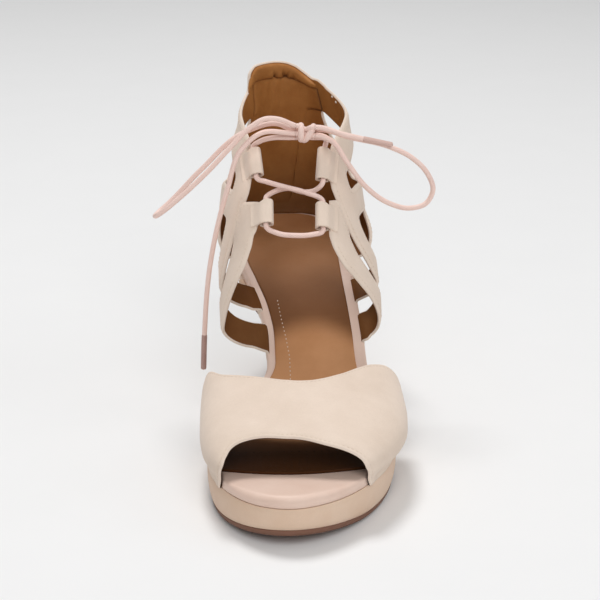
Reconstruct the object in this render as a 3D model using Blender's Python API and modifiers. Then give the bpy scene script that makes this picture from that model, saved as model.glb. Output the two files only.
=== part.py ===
"""A left foot's peep-toe heel with a laced strap cage: platform sole, covered heel, vamp band, cage and cord.

Lengths in the tables are millimetres. "along" runs from the toe tip towards the heel, "x" is negative on the
medial side (big toe) and positive on the lateral side, and heights are above the floor.
"""

import math
from collections import namedtuple

import bmesh
import bpy
from mathutils import Matrix, Vector
from mathutils.geometry import interpolate_bezier

MM = 0.001
MEDIAL, LATERAL = -1, 1

# Driving dimensions
SHOE_LENGTH = 231.0
SOLE_END = 228.5
TOE_TIP_X = -7.0
ANKLE = 185.0
WRAP_END = 245.0
GAP = 0.3
LASTING_LIFT = 0.2
UPPER_GAP = 0.5
VAMP_WALL = 1.8
CAGE_WALL = 2.0
SOCK_THICKNESS = 1.0
SOCK_GAP = 0.4
SOCK_MARGIN = 5.6
SOCK_FRONT = 28.5
SOCK_BOW = 6.0
SOCK_HEEL_RELIEF = 3.0
LIP_RADIUS = 3.4
LIP_REACH = 1.9
LIP_END, LIP_FADE = 33.0, 9.0
FRONT_FLARE = 1.8
OUTSOLE_THICKNESS = 3.0
OUTSOLE_INSET = 1.6
HEEL_BREAST = 168.0
TOP_PIECE = 6.0
LACE_DIAMETER = 2.5
LOOP_WIDTH, LOOP_DEPTH = 7.0, 6.6
LOOP_WALL = 1.2
LOOP_POWER = 2.5
LOOP_TURN = 18.0
LOOP_ROOM = 4.6
LOOP_END_ROOM = 2.6
CORD_STEP = 5.0
FOOTBED_INSET = VAMP_WALL + UPPER_GAP
CENTRE_X = 1.5

# The sole's outline: superellipse toe and heel with the waist read from a table
ToeCurve = namedtuple("ToeCurve", "ball_along ball_x power")
TOE_CURVES = {MEDIAL: ToeCurve(60.0, -43.3, 2.05), LATERAL: ToeCurve(75.0, 44.0, 1.72)}
HEEL_ROUND_FROM = 190.0
HEEL_POWER = 2.2

WaistRow = namedtuple("WaistRow", "along medial lateral")
WAIST = (
    WaistRow(60, -43.3, 42.8),
    WaistRow(75, -41.6, 44.0),
    WaistRow(90, -34.5, 42.8),
    WaistRow(105, -22.8, 38.8),
    WaistRow(118, -16.6, 36.0),
    WaistRow(130, -16.8, 35.2),
    WaistRow(145, -19.6, 33.6),
    WaistRow(160, -24.6, 32.0),
    WaistRow(175, -29.0, 31.0),
    WaistRow(190, -30.5, 30.5),
)

# The side profile: heights of the footbed's top and the outsole's tread, and the footbed's thickness
ProfileRow = namedtuple("ProfileRow", "along footbed thickness tread")
PROFILE = (
    ProfileRow(0, 25.0, 5.8, 6.2),
    ProfileRow(14, 23.4, 5.2, 3.2),
    ProfileRow(30, 22.2, 4.8, 0.7),
    ProfileRow(45, 21.3, 4.6, 0.0),
    ProfileRow(60, 20.9, 4.5, 0.0),
    ProfileRow(80, 21.4, 4.5, 0.0),
    ProfileRow(93, 24.6, 4.5, 0.0),
    ProfileRow(103, 29.4, 4.6, 3.4),
    ProfileRow(115, 37.0, 4.8, 14.5),
    ProfileRow(130, 48.0, 5.0, 30.0),
    ProfileRow(148, 60.0, 5.0, 47.5),
    ProfileRow(168, 69.8, 5.0, 58.4),
    ProfileRow(188, 75.6, 5.0, 65.0),
    ProfileRow(208, 79.0, 5.0, 68.0),
    ProfileRow(231, 81.5, 5.0, 70.0),
)

# The vamp's inner form: how far it bulges past the sole and how high its crown stands
VampRow = namedtuple("VampRow", "along medial lateral crown")
VAMP_FORM = (
    VampRow(10, -28.5, 14.0, 30.5),
    VampRow(20, -35.0, 24.5, 34.4),
    VampRow(32, -40.4, 33.4, 38.2),
    VampRow(48, -43.8, 41.8, 41.6),
    VampRow(65, -44.8, 46.6, 44.9),
    VampRow(82, -44.6, 47.9, 48.8),
    VampRow(104, -43.0, 46.2, 53.4),
)
VAMP_CROWN_X = -6.0
VAMP_POWER = {MEDIAL: 3.0, LATERAL: 2.3}
VAMP_BULGE_HEIGHT = 4.0
VAMP_BULGE_SHARE = 0.8
VAMP_TUCK_SHARE = 0.64

# The vamp's cut edges by share of the arch: -1 medial feather line, 0 crown, 1 lateral feather line
VampEdge = namedtuple("VampEdge", "share along")
TOE_OPENING = (
    VampEdge(-1.0, 26.2),
    VampEdge(-0.83, 23.3),
    VampEdge(-0.7, 22.4),
    VampEdge(-0.52, 25.1),
    VampEdge(-0.39, 28.7),
    VampEdge(-0.27, 31.0),
    VampEdge(-0.11, 32.3),
    VampEdge(0.02, 30.9),
    VampEdge(0.18, 27.5),
    VampEdge(0.38, 25.0),
    VampEdge(0.55, 23.2),
    VampEdge(0.73, 21.7),
    VampEdge(0.9, 24.0),
    VampEdge(1.0, 26.0),
)
THROAT = (
    VampEdge(-1.0, 90.0),
    VampEdge(-0.8, 96.0),
    VampEdge(-0.62, 98.5),
    VampEdge(-0.36, 86.2),
    VampEdge(-0.22, 81.4),
    VampEdge(-0.11, 78.4),
    VampEdge(-0.03, 76.0),
    VampEdge(0.03, 74.4),
    VampEdge(0.07, 74.8),
    VampEdge(0.13, 76.9),
    VampEdge(0.21, 81.7),
    VampEdge(0.31, 89.5),
    VampEdge(0.4, 95.5),
    VampEdge(0.55, 100.5),
    VampEdge(0.75, 101.5),
    VampEdge(1.0, 96.0),
)

# The ankle form under the cage: an egg at each height, from the instep to the back of the heel
AnkleRow = namedtuple("AnkleRow", "height instep back medial lateral nose medial_pinch lateral_pinch")
ANKLE_FORM = (
    AnkleRow(36, 46, 224.0, 39.0, 46.5, 2.3, 0.00, 0.00),
    AnkleRow(60, 78, 226.5, 38.3, 45.6, 2.2, 0.00, 0.00),
    AnkleRow(80, 103, 228.6, 36.5, 40.5, 2.05, 0.00, 0.00),
    AnkleRow(95, 121, 229.0, 34.5, 35.5, 1.95, 0.02, 0.02),
    AnkleRow(110, 136, 227.8, 32.5, 33.0, 1.85, 0.06, 0.07),
    AnkleRow(125, 150, 225.0, 29.4, 30.0, 1.8, 0.10, 0.13),
    AnkleRow(140, 160, 222.0, 24.6, 27.0, 1.8, 0.10, 0.20),
    AnkleRow(155, 168, 220.4, 23.6, 25.3, 1.8, 0.03, 0.22),
    AnkleRow(170, 174, 220.0, 22.0, 22.5, 1.8, 0.00, 0.22),
)
TUCK_HEIGHT = 13.0
RIDGE_X = -3.5

# The cage's straps as centre lines on the ankle form. Past ANKLE, "along" wraps round the heel to WRAP_END
StrapRow = namedtuple("StrapRow", "along height half_width")
FRONT_STRAP = (
    StrapRow(129.4, 38.0, 7.0),
    StrapRow(129.8, 54.0, 7.0),
    StrapRow(130.2, 66.0, 7.0),
    StrapRow(130.8, 76.0, 7.2),
    StrapRow(132.0, 85.0, 7.4),
    StrapRow(135.0, 92.0, 7.2),
    StrapRow(138.7, 98.2, 6.6),
    StrapRow(141.8, 104.2, 6.6),
    StrapRow(145.6, 110.6, 6.2),
)
REAR_STRAP = (
    StrapRow(149.0, 46.0, 7.0),
    StrapRow(149.2, 60.0, 7.0),
    StrapRow(149.8, 72.0, 7.0),
    StrapRow(151.0, 84.0, 7.0),
    StrapRow(152.6, 95.0, 7.0),
    StrapRow(154.6, 105.5, 7.0),
    StrapRow(157.0, 113.5, 6.7),
    StrapRow(160.0, 119.5, 5.8),
    StrapRow(163.4, 125.2, 5.4),
    StrapRow(166.6, 130.2, 5.2),
)
MID_STRAP = (
    StrapRow(157.0, 104.8, 6.4),
    StrapRow(170.0, 104.8, 6.7),
    StrapRow(182.0, 103.0, 7.0),
    StrapRow(195.0, 99.5, 8.0),
    StrapRow(207.0, 95.0, 10.0),
)
COLLAR_STRAP = (
    StrapRow(168.0, 127.5, 7.4),
    StrapRow(174.0, 131.6, 7.6),
    StrapRow(183.0, 136.0, 7.8),
    StrapRow(194.0, 140.4, 7.4),
    StrapRow(204.0, 144.6, 7.0),
    StrapRow(215.0, 148.4, 6.8),
)
OPEN_ENDED = (FRONT_STRAP, REAR_STRAP)
# The lateral straps are lasted further back than the medial ones, below these heights
SET_BACK = 4.5
SET_BACK_FROM, SET_BACK_TO = 90.0, 62.0
CutRow = namedtuple("CutRow", "height medial lateral")
COUNTER_FRONT = (
    CutRow(60, 170.0, 170.0),
    CutRow(75, 175.0, 175.0),
    CutRow(90, 187.0, 187.0),
    CutRow(105, 196.0, 197.0),
    CutRow(120, 203.0, 205.5),
    CutRow(130, 207.0, 211.5),
    CutRow(140, 207.0, 213.5),
    CutRow(150, 206.0, 210.0),
    CutRow(170, 204.0, 204.0),
)
# The soft topline stands higher on the medial side; "pattern" counts from the middle of the back
ToplineRow = namedtuple("ToplineRow", "pattern height")
COUNTER_TOP = (
    ToplineRow(-46, 152.5),
    ToplineRow(-43, 155.0),
    ToplineRow(-41, 158.4),
    ToplineRow(-38, 161.6),
    ToplineRow(-32, 163.4),
    ToplineRow(-14, 163.2),
    ToplineRow(-3, 162.4),
    ToplineRow(5, 160.6),
    ToplineRow(13, 157.6),
    ToplineRow(26, 154.2),
    ToplineRow(36, 152.4),
    ToplineRow(46, 150.0),
)
FILLET = 3.5

# The cage's pattern grid: closer rows where the leather turns out from the footbed's edge
GRID_COLUMNS = 72
GRID_FRONT = 117.0
GRID_HIGH = 167.0
LOW_ROWS = (-0.6, 0.8, 3.0, 6.5, 11.0, 16.0)
HIGH_ROWS = 22

# The heel's foot print at the floor
HEEL_FOOT_FRONT, HEEL_FOOT_BACK = 192.0, 222.0
HEEL_FOOT_HALF_WIDTH = 11.5
HEEL_FOOT_POWER = 2.8
HEEL_BREAST_TAPER, HEEL_SIDE_TAPER = 1.9, 2.5
HEEL_LEVELS = 7

CordPoint = namedtuple("CordPoint", "x along height")

# The lace loops: the ends of each one's middle line
LoopRow = namedtuple("LoopRow", "row side low high")
LACE_LOOPS = (
    LoopRow("lower", MEDIAL, CordPoint(-14.0, 131.8, 104.6), CordPoint(-13.9, 140.4, 113.4)),
    LoopRow("lower", LATERAL, CordPoint(12.9, 132.5, 101.9), CordPoint(13.4, 141.8, 111.2)),
    LoopRow("upper", MEDIAL, CordPoint(-18.0, 152.5, 122.8), CordPoint(-19.3, 161.9, 133.0)),
    LoopRow("upper", LATERAL, CordPoint(13.8, 151.0, 120.6), CordPoint(15.4, 161.1, 133.1)),
)

# The bow's knot and the cord's free runs. The lace loops add the points between the threaded runs
KNOT_CENTRE = (5.5, 155.4, 142.9)
KNOT_LENGTH, KNOT_DIAMETER, KNOT_ROUNDING = 8.4, 9.2, 1.4
KNOT_TO_UPPER_MEDIAL = (
    CordPoint(1.0, 156.8, 140.2),
    CordPoint(-2.0, 156.8, 140.2),
    CordPoint(-10.0, 158.5, 139.7),
    CordPoint(-15.7, 161.5, 137.4),
)
UPPER_MEDIAL_TO_LOWER_LATERAL = (
    CordPoint(-13.5, 150.0, 120.3),
    CordPoint(-4.5, 146.6, 118.5),
    CordPoint(5.0, 145.0, 116.2),
)
LOWER_BAR = (
    CordPoint(8.0, 129.9, 99.8),
    CordPoint(-0.4, 129.4, 99.6),
    CordPoint(-8.5, 129.9, 100.6),
)
LOWER_MEDIAL_TO_UPPER_LATERAL = (
    CordPoint(-12.8, 145.8, 114.6),
    CordPoint(-9.0, 149.6, 115.6),
    CordPoint(-3.0, 151.3, 116.4),
    CordPoint(4.8, 150.8, 114.6),
    CordPoint(10.0, 150.0, 115.6),
)
UPPER_LATERAL_TO_KNOT = (
    CordPoint(16.2, 163.4, 136.2),
    CordPoint(15.2, 160.6, 138.6),
    CordPoint(13.0, 157.4, 139.9),
    CordPoint(10.0, 157.4, 139.9),
)
FREE_CORDS = {
    "lace_bow_medial": (
        CordPoint(1.0, 153.9, 146.7),
        CordPoint(-1.6, 153.9, 147.8),
        CordPoint(-7.0, 153.2, 150.2),
        CordPoint(-13.5, 152.2, 150.8),
        CordPoint(-21.0, 151.2, 146.9),
        CordPoint(-30.0, 149.4, 138.2),
        CordPoint(-42.0, 147.0, 126.0),
        CordPoint(-56.0, 146.0, 113.2),
        CordPoint(-62.5, 146.6, 107.6),
        CordPoint(-66.5, 149.6, 104.0),
        CordPoint(-67.3, 153.2, 102.8),
        CordPoint(-65.6, 156.8, 103.6),
        CordPoint(-61.0, 158.8, 107.2),
        CordPoint(-45.0, 158.4, 124.0),
        CordPoint(-23.0, 157.4, 143.2),
        CordPoint(-7.0, 158.2, 146.6),
        CordPoint(-1.6, 157.5, 144.5),
        CordPoint(1.0, 157.5, 144.4),
    ),
    "lace_bow_lateral": (
        CordPoint(10.0, 155.7, 144.2),
        CordPoint(13.0, 155.7, 144.2),
        CordPoint(27.5, 154.5, 140.5),
        CordPoint(46.0, 153.5, 136.0),
        CordPoint(57.2, 152.7, 130.4),
        CordPoint(64.6, 152.0, 122.8),
        CordPoint(67.4, 151.4, 114.6),
        CordPoint(64.2, 150.8, 108.2),
        CordPoint(56.0, 150.1, 106.0),
        CordPoint(45.2, 149.5, 109.2),
        CordPoint(34.0, 149.0, 118.0),
        CordPoint(25.5, 149.5, 129.5),
        CordPoint(18.0, 152.2, 139.6),
        CordPoint(13.0, 153.2, 142.0),
        CordPoint(10.0, 153.2, 142.2),
    ),
    "lace_end_medial": (
        CordPoint(1.0, 153.8, 142.9),
        CordPoint(-2.0, 153.8, 143.2),
        CordPoint(-15.0, 153.0, 143.8),
        CordPoint(-25.5, 148.5, 136.5),
        CordPoint(-32.0, 147.0, 118.0),
        CordPoint(-41.0, 146.5, 80.0),
        CordPoint(-44.4, 146.0, 44.0),
    ),
    "lace_end_lateral": (
        CordPoint(10.0, 152.2, 146.4),
        CordPoint(13.0, 152.2, 146.2),
        CordPoint(22.5, 150.2, 143.6),
        CordPoint(32.2, 149.9, 141.2),
    ),
    "lace_tip_medial": (
        CordPoint(-44.43, 146.0, 43.5),
        CordPoint(-44.9, 145.8, 34.0),
        CordPoint(-45.2, 145.5, 25.5),
    ),
    "lace_tip_lateral": (
        CordPoint(32.6, 149.9, 141.1),
        CordPoint(40.5, 149.9, 139.3),
        CordPoint(47.0, 149.9, 137.8),
    ),
}


def through(rows, key, column):
    """A smooth curve, without overshoot, through one column of a table."""
    xs = [getattr(row, key) for row in rows]
    ys = [getattr(row, column) for row in rows]
    steps = [(ys[i + 1] - ys[i]) / (xs[i + 1] - xs[i]) for i in range(len(xs) - 1)]
    slopes = [steps[0]]
    for before, after in zip(steps, steps[1:]):
        slopes.append(0.0 if before * after <= 0 else 2 * before * after / (before + after))
    slopes.append(steps[-1])

    def at(x):
        x = min(max(x, xs[0]), xs[-1])
        i = next(k for k in range(len(steps)) if x <= xs[k + 1])
        width = xs[i + 1] - xs[i]
        t = (x - xs[i]) / width
        rise = 3 * t * t - 2 * t**3
        return (
            ys[i] * (1 - rise)
            + ys[i + 1] * rise
            + width * t * (1 - t) * ((1 - t) * slopes[i] - t * slopes[i + 1])
        )

    return at


footbed_top = through(PROFILE, "along", "footbed")
footbed_thickness = through(PROFILE, "along", "thickness")
tread = through(PROFILE, "along", "tread")
waist_x = {MEDIAL: through(WAIST, "along", "medial"), LATERAL: through(WAIST, "along", "lateral")}
vamp_bulge = {
    MEDIAL: through(VAMP_FORM, "along", "medial"),
    LATERAL: through(VAMP_FORM, "along", "lateral"),
}
vamp_crown = through(VAMP_FORM, "along", "crown")
toe_opening = through(TOE_OPENING, "share", "along")
throat = through(THROAT, "share", "along")
ankle = {name: through(ANKLE_FORM, "height", name) for name in AnkleRow._fields[1:]}
counter_front = {
    MEDIAL: through(COUNTER_FRONT, "height", "medial"),
    LATERAL: through(COUNTER_FRONT, "height", "lateral"),
}
counter_top = through(COUNTER_TOP, "pattern", "height")


def footbed_bottom(along):
    return footbed_top(along) - footbed_thickness(along)


def world(x, along, height):
    """A point of the tables, in metres, about the middle of the shoe's footprint."""
    return Vector(((x - CENTRE_X) * MM, (along - SHOE_LENGTH / 2) * MM, height * MM))


def superellipse(share, power):
    return max(0.0, 1.0 - abs(share) ** power) ** (1.0 / power)


def sole_x(along, side, inset):
    """The sole's edge at a station, drawn in by inset."""
    toe = TOE_CURVES[side]
    if along < toe.ball_along:
        reach = toe.ball_along - inset
        wide = toe.ball_x - side * inset - TOE_TIP_X
        return TOE_TIP_X + wide * superellipse((toe.ball_along - along) / reach, toe.power)
    if along > HEEL_ROUND_FROM:
        reach = SOLE_END - inset - HEEL_ROUND_FROM
        wide = waist_x[side](HEEL_ROUND_FROM) - side * inset
        return wide * superellipse(min(1.0, (along - HEEL_ROUND_FROM) / reach), HEEL_POWER)
    return waist_x[side](along) - side * inset


# Meshes and objects


def material(name, colour, roughness):
    made = bpy.data.materials.new(name)
    made.use_nodes = True
    shader = made.node_tree.nodes["Principled BSDF"]
    shader.inputs["Base Color"].default_value = (*colour, 1.0)
    shader.inputs["Roughness"].default_value = roughness
    shader.inputs["Metallic"].default_value = 0.0
    return made


def add_part(name, mesh, finish):
    part = bpy.data.objects.new(name, mesh)
    part.data.materials.append(finish)
    parts_collection.objects.link(part)
    return part


def finished_mesh(name, bm):
    mesh = bpy.data.meshes.new(name)
    bm.to_mesh(mesh)
    bm.free()
    mesh.shade_smooth()
    mesh.set_sharp_from_angle(angle=math.radians(40))
    return mesh


def loft(name, rings):
    """A closed solid through rings of equal length, with flat ends."""
    bm = bmesh.new()
    loops = [[bm.verts.new(point) for point in ring] for ring in rings]
    for low, high in zip(loops, loops[1:]):
        for i in range(len(low)):
            j = (i + 1) % len(low)
            bm.faces.new((low[i], low[j], high[j], high[i]))
    bm.faces.new(reversed(loops[0]))
    bm.faces.new(loops[-1])
    bmesh.ops.recalc_face_normals(bm, faces=bm.faces)
    return finished_mesh(name, bm)


# The sole: layers that share one outline and one side profile


def stations(front, back, inset):
    """Stations from front to back, closer together at the round toe and heel."""
    toe = [inset + 50.0 * (k / 9) ** 2.2 for k in range(10)]
    middle = [56 + 6.7 * k for k in range(20)]
    heel_reach = SOLE_END - inset - HEEL_ROUND_FROM
    heel = [HEEL_ROUND_FROM + heel_reach * (1 - (1 - k / 7) ** 2) for k in range(8)]
    inner = [s for s in toe + middle + heel if front + 1.5 < s < back - 1.5]
    return [front] + inner + [back]


def lip_inset(along, inset, lip):
    """An inset lessened at the toe, where the footbed's lip and the ends of the vamp reach out."""
    fade = min(1.0, max(0.0, (LIP_END - along) / LIP_FADE))
    return inset - lip * fade * fade * (3 - 2 * fade)


def layer(name, front, back, levels, lip=0.0):
    """A sole layer: levels run from the bottom up, each with its inset and its height along the shoe."""
    bm = bmesh.new()
    rings = []
    for inset, height in levels:
        start, stop = max(front, inset - lip), min(back, SOLE_END - inset)
        marks = [
            start + (s - front) * (stop - start) / (back - front) for s in stations(front, back, 0)
        ]
        rows = []
        for along in marks:
            drawn_in = lip_inset(along, inset, lip)
            edge = [sole_x(along, side, drawn_in) for side in (MEDIAL, LATERAL)]
            xs = edge[:1] if abs(edge[1] - edge[0]) < 0.01 else edge
            rows.append([bm.verts.new(world(x, along, height(along))) for x in xs])
        rings.append(rows)
    for rows, flip in ((rings[0], True), (rings[-1], False)):
        for ahead, behind in zip(rows, rows[1:]):
            face = ahead + behind[::-1]
            bm.faces.new(face[::-1] if flip else face)
    for low, high in zip(rings, rings[1:]):
        for column in (0, -1):
            for (a, b), (c, d) in zip(zip(low, low[1:]), zip(high, high[1:])):
                bm.faces.new((a[column], b[column], d[column], c[column]))
        for k in (0, -1):
            if len(low[k]) == 2:
                bm.faces.new((low[k][0], low[k][1], high[k][1], high[k][0]))
    bmesh.ops.recalc_face_normals(bm, faces=bm.faces)
    return finished_mesh(name, bm)


def rounded_levels(inset, bottom, top, radius):
    """Levels for a layer with a rounded upper edge."""
    levels = [(inset, bottom)]
    for angle in (0, 30, 60, 90):
        turn = math.radians(angle)
        draw_in = radius * (1 - math.cos(turn))
        drop = radius * (1 - math.sin(turn))
        levels.append((inset + draw_in, lambda along, drop=drop: top(along) - drop))
    return levels


def outsole_top(along):
    return tread(along) + OUTSOLE_THICKNESS


def sock_inset(along):
    """The sock's edge runs nearer to the footbed's at the heel."""
    back = min(1.0, max(0.0, (along - HEEL_ROUND_FROM) / 22.0))
    return FOOTBED_INSET + SOCK_MARGIN - SOCK_HEEL_RELIEF * back * back * (3 - 2 * back)


def add_sock(sock_leather):
    """A sheet glued on the footbed, with a bowed front edge."""
    columns, rows = 4, 26
    end = SOLE_END - sock_inset(SOLE_END)
    bm = bmesh.new()
    bmesh.ops.create_grid(bm, x_segments=columns, y_segments=rows, size=1.0)
    for vert in bm.verts:
        across, share = vert.co.x, (vert.co.y + 1) / 2
        along = SOCK_FRONT + (end - SOCK_FRONT) * (1 - (1 - share) ** 1.5)
        along += SOCK_BOW * across**2 * (1 - share) ** 8
        medial, lateral = (sole_x(along, side, sock_inset(along)) for side in (MEDIAL, LATERAL))
        x = medial + (lateral - medial) * (across + 1) / 2
        vert.co = world(x, along, footbed_top(along) + SOCK_GAP)
    bmesh.ops.remove_doubles(bm, verts=bm.verts, dist=0.05 * MM)
    part = add_part("sock", finished_mesh("sock", bm), sock_leather)
    wall = part.modifiers.new("thickness", "SOLIDIFY")
    wall.thickness = SOCK_THICKNESS * MM
    wall.offset = 1.0
    return part


def add_sole(nude, sock_leather, rubber):
    levels = rounded_levels(FOOTBED_INSET, footbed_bottom, footbed_top, LIP_RADIUS)
    add_part("footbed", layer("footbed", 0.0, SOLE_END, levels, lip=LIP_REACH), nude)

    add_sock(sock_leather)

    rand = [
        (OUTSOLE_INSET - 0.6, lambda along: outsole_top(along) + GAP),
        (0.0, lambda along: outsole_top(along) * 0.4 + footbed_bottom(along) * 0.6),
        (0.0, lambda along: footbed_bottom(along) - GAP),
    ]
    add_part("platform", layer("platform", 0.0, HEEL_BREAST - 2 * GAP, rand), nude)

    tread_levels = [(OUTSOLE_INSET + 0.8, tread), (OUTSOLE_INSET, outsole_top)]
    add_part("outsole", layer("outsole", 0.0, HEEL_BREAST - 2 * GAP, tread_levels), rubber)


def heel_ring(level):
    """One ring of the heel, from its seat under the footbed (level 0) to its foot (level 1)."""
    ring = []
    foot_middle = (HEEL_FOOT_FRONT + HEEL_FOOT_BACK) / 2
    foot_reach = (HEEL_FOOT_BACK - HEEL_FOOT_FRONT) / 2
    waisted = 1 - (1 - level) ** HEEL_BREAST_TAPER
    narrowed = 1 - (1 - level) ** HEEL_SIDE_TAPER
    steps = 12
    for side in (LATERAL, MEDIAL):
        for k in range(steps + 1):
            share = k / steps if side == LATERAL else 1 - k / steps
            if side == MEDIAL and k == 0:
                continue
            turn = math.pi * share
            seat_along = HEEL_BREAST + (SOLE_END - HEEL_BREAST) * (1 - math.cos(turn)) / 2
            seat_x = sole_x(seat_along, side, 0.0)
            foot_along = foot_middle - foot_reach * math.copysign(
                abs(math.cos(turn)) ** (2 / HEEL_FOOT_POWER), math.cos(turn)
            )
            foot_x = side * HEEL_FOOT_HALF_WIDTH * math.sin(turn) ** (2 / HEEL_FOOT_POWER)
            x = seat_x + (foot_x - seat_x) * narrowed
            along = seat_along + (foot_along - seat_along) * waisted
            seat_height = footbed_bottom(seat_along) - GAP
            ring.append(world(x, along, seat_height + (TOP_PIECE + GAP - seat_height) * level))
    return ring


def add_heel(nude, rubber):
    rings = [heel_ring(k / HEEL_LEVELS) for k in range(HEEL_LEVELS + 1)]
    add_part("heel", loft("heel", rings), nude)
    foot = [Vector((p.x, p.y, 0.0)) for p in rings[-1]]
    top = [Vector((p.x, p.y, TOP_PIECE * MM)) for p in rings[-1]]
    add_part("top_piece", loft("top_piece", [top, foot]), rubber)


# The vamp: a band over the toes, open at the toe, the throat and underneath


def vamp_point(share, along):
    """The vamp's inner face: share runs from the medial feather line (-1) over the crown to the lateral one."""
    side = MEDIAL if share < 0 else LATERAL
    bulge = vamp_bulge[side](along)
    bulge_height = footbed_top(along) + VAMP_BULGE_HEIGHT
    reach = abs(share)
    if reach <= VAMP_BULGE_SHARE:
        turn = reach / VAMP_BULGE_SHARE * math.pi / 2
        power = 2 / VAMP_POWER[side]
        x = VAMP_CROWN_X + (bulge - VAMP_CROWN_X) * math.sin(turn) ** power
        rise = (vamp_crown(along) - bulge_height) * max(0.0, math.cos(turn)) ** power
        return x, along, bulge_height + rise
    fall = (reach - VAMP_BULGE_SHARE) / (1 - VAMP_BULGE_SHARE)
    feather_x = sole_x(along, side, lip_inset(along, FOOTBED_INSET - UPPER_GAP, FRONT_FLARE))
    tuck = min(1.0, fall / VAMP_TUCK_SHARE)
    x = bulge + (feather_x - bulge) * tuck * tuck * (3 - 2 * tuck)
    return x, along, bulge_height + (footbed_bottom(along) + LASTING_LIFT - bulge_height) * fall


def add_vamp(nude):
    columns, rows = 28, 8
    bm = bmesh.new()
    bmesh.ops.create_grid(bm, x_segments=columns, y_segments=rows, size=1.0)
    for vert in bm.verts:
        share, depth = vert.co.x, (vert.co.y + 1) / 2
        front, back = toe_opening(share), throat(share)
        vert.co = world(*vamp_point(share, front + (back - front) * depth))
    mesh = finished_mesh("vamp", bm)
    part = add_part("vamp", mesh, nude)
    wall = part.modifiers.new("wall", "SOLIDIFY")
    wall.thickness = VAMP_WALL * MM
    wall.offset = 1.0
    return part


# The cage: counter, collar and straps cut from one leather and lasted on the ankle form


def foot_edge(side, along):
    """The footbed's edge at a pattern station, which wraps round the heel past ANKLE."""
    inset = FOOTBED_INSET - UPPER_GAP
    if along > ANKLE:
        turn = (along - ANKLE) / (WRAP_END - ANKLE) * math.pi / 2
        along = ANKLE + (SOLE_END - inset - ANKLE) * math.sin(turn)
    return sole_x(along, side, inset), along


def ankle_edge(side, along, height):
    """The egg section of the ankle form at a height."""
    face = "medial" if side == MEDIAL else "lateral"
    half = ankle[face](height)
    if along > ANKLE:
        turn = (along - ANKLE) / (WRAP_END - ANKLE) * math.pi / 2
        hollow = 1 - ankle[f"{face}_pinch"](height) * math.sin(2 * turn) ** 2
        x = half * math.cos(turn) * hollow
        return side * x, ANKLE + (ankle["back"](height) - ANKLE) * math.sin(turn)
    share = min(1.0, (ANKLE - along) / (ANKLE - ankle["instep"](height)))
    x = side * half * superellipse(share, ankle["nose"](height)) + RIDGE_X * share**2
    return x, along


def cage_point(side, along, height):
    """The cage's inner face: it rises from the footbed's edge and swells out to the ankle form."""
    edge_x, edge_along = foot_edge(side, along)
    form_x, form_along = ankle_edge(side, along, height)
    rise = min(1.0, max(0.0, (height - footbed_top(edge_along)) / TUCK_HEIGHT))
    swell = math.sqrt(rise * (2 - rise))
    x = edge_x + (form_x - edge_x) * swell
    return Vector((x, edge_along + (form_along - edge_along) * swell, height))


def set_back(side, height):
    """How far behind the medial strap the lateral one runs at a height."""
    if side == MEDIAL:
        return 0.0
    fade = min(1.0, max(0.0, (SET_BACK_FROM - height) / (SET_BACK_FROM - SET_BACK_TO)))
    return SET_BACK * fade * fade * (3 - 2 * fade)


def strap_line(side, strap):
    """A strap's centre line lifted on to the form, as points with a half width each."""
    line = []
    for ahead, behind in zip(strap, strap[1:]):
        for k in range(4):
            t = k / 4
            row = [a + (b - a) * t for a, b in zip(ahead, behind)]
            line.append((cage_point(side, row[0] + set_back(side, row[1]), row[1]), row[2]))
    end = strap[-1]
    return line + [(cage_point(side, end.along, end.height), end.half_width)]


def strap_end(line):
    """Where a strap stops, and the way it points there."""
    return line[-1][0], (line[-1][0] - line[-4][0]).normalized()


def strap_distance(point, line, squared):
    """How far a point lies outside a strap's edge, and below zero inside it."""
    nearest = math.inf
    for (a, wide_a), (b, wide_b) in zip(line, line[1:]):
        step = b - a
        t = min(1.0, max(0.0, (point - a).dot(step) / step.length_squared))
        nearest = min(nearest, (point - a - step * t).length - (wide_a + (wide_b - wide_a) * t))
    if squared:
        end, way = strap_end(line)
        nearest = max(nearest, (point - end).dot(way))
    return nearest


def blended(a, b):
    """The lesser of two distances, with a fillet where they meet."""
    near = max(FILLET - abs(a - b), 0.0) / FILLET
    return min(a, b) - near * near * FILLET / 4


def cage_height(along, row):
    """The height of a grid row, counted from 0 at the lasted edge under the footbed."""
    edge_along = foot_edge(LATERAL, along)[1]
    top = footbed_top(edge_along)
    low = [footbed_bottom(edge_along) + LASTING_LIFT] + [top + rise for rise in LOW_ROWS]
    last = len(low) - 1
    if row >= last:
        return low[-1] + (GRID_HIGH - low[-1]) * (row - last) / HIGH_ROWS
    k = int(max(0.0, row))
    return low[k] + (low[k + 1] - low[k]) * (row - k)


def loop_room(point, loop):
    """How deep a point lies in the room that a lace loop needs, and below zero outside it."""
    low, high = Vector(loop.low), Vector(loop.high)
    way = (high - low).normalized()
    half = (high - low).length / 2
    reach = (point - low).dot(way)
    aside = (point - low - way * reach).length
    return min(LOOP_ROOM - aside, half + LOOP_END_ROOM - abs(reach - half))


def cage_distance(lines, pattern, row):
    """How far a point of the pattern lies outside the cage's cut edge."""
    side = MEDIAL if pattern < 0 else LATERAL
    along = WRAP_END - abs(pattern)
    height = cage_height(along, row)
    point = cage_point(side, along, height)
    found = max(counter_front[side](height) - along, height - counter_top(pattern))
    for line, squared in lines[side]:
        found = blended(found, strap_distance(point, line, squared))
    for loop in LACE_LOOPS:
        if loop.side == side:
            found = max(found, loop_room(point, loop))
    return found


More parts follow.
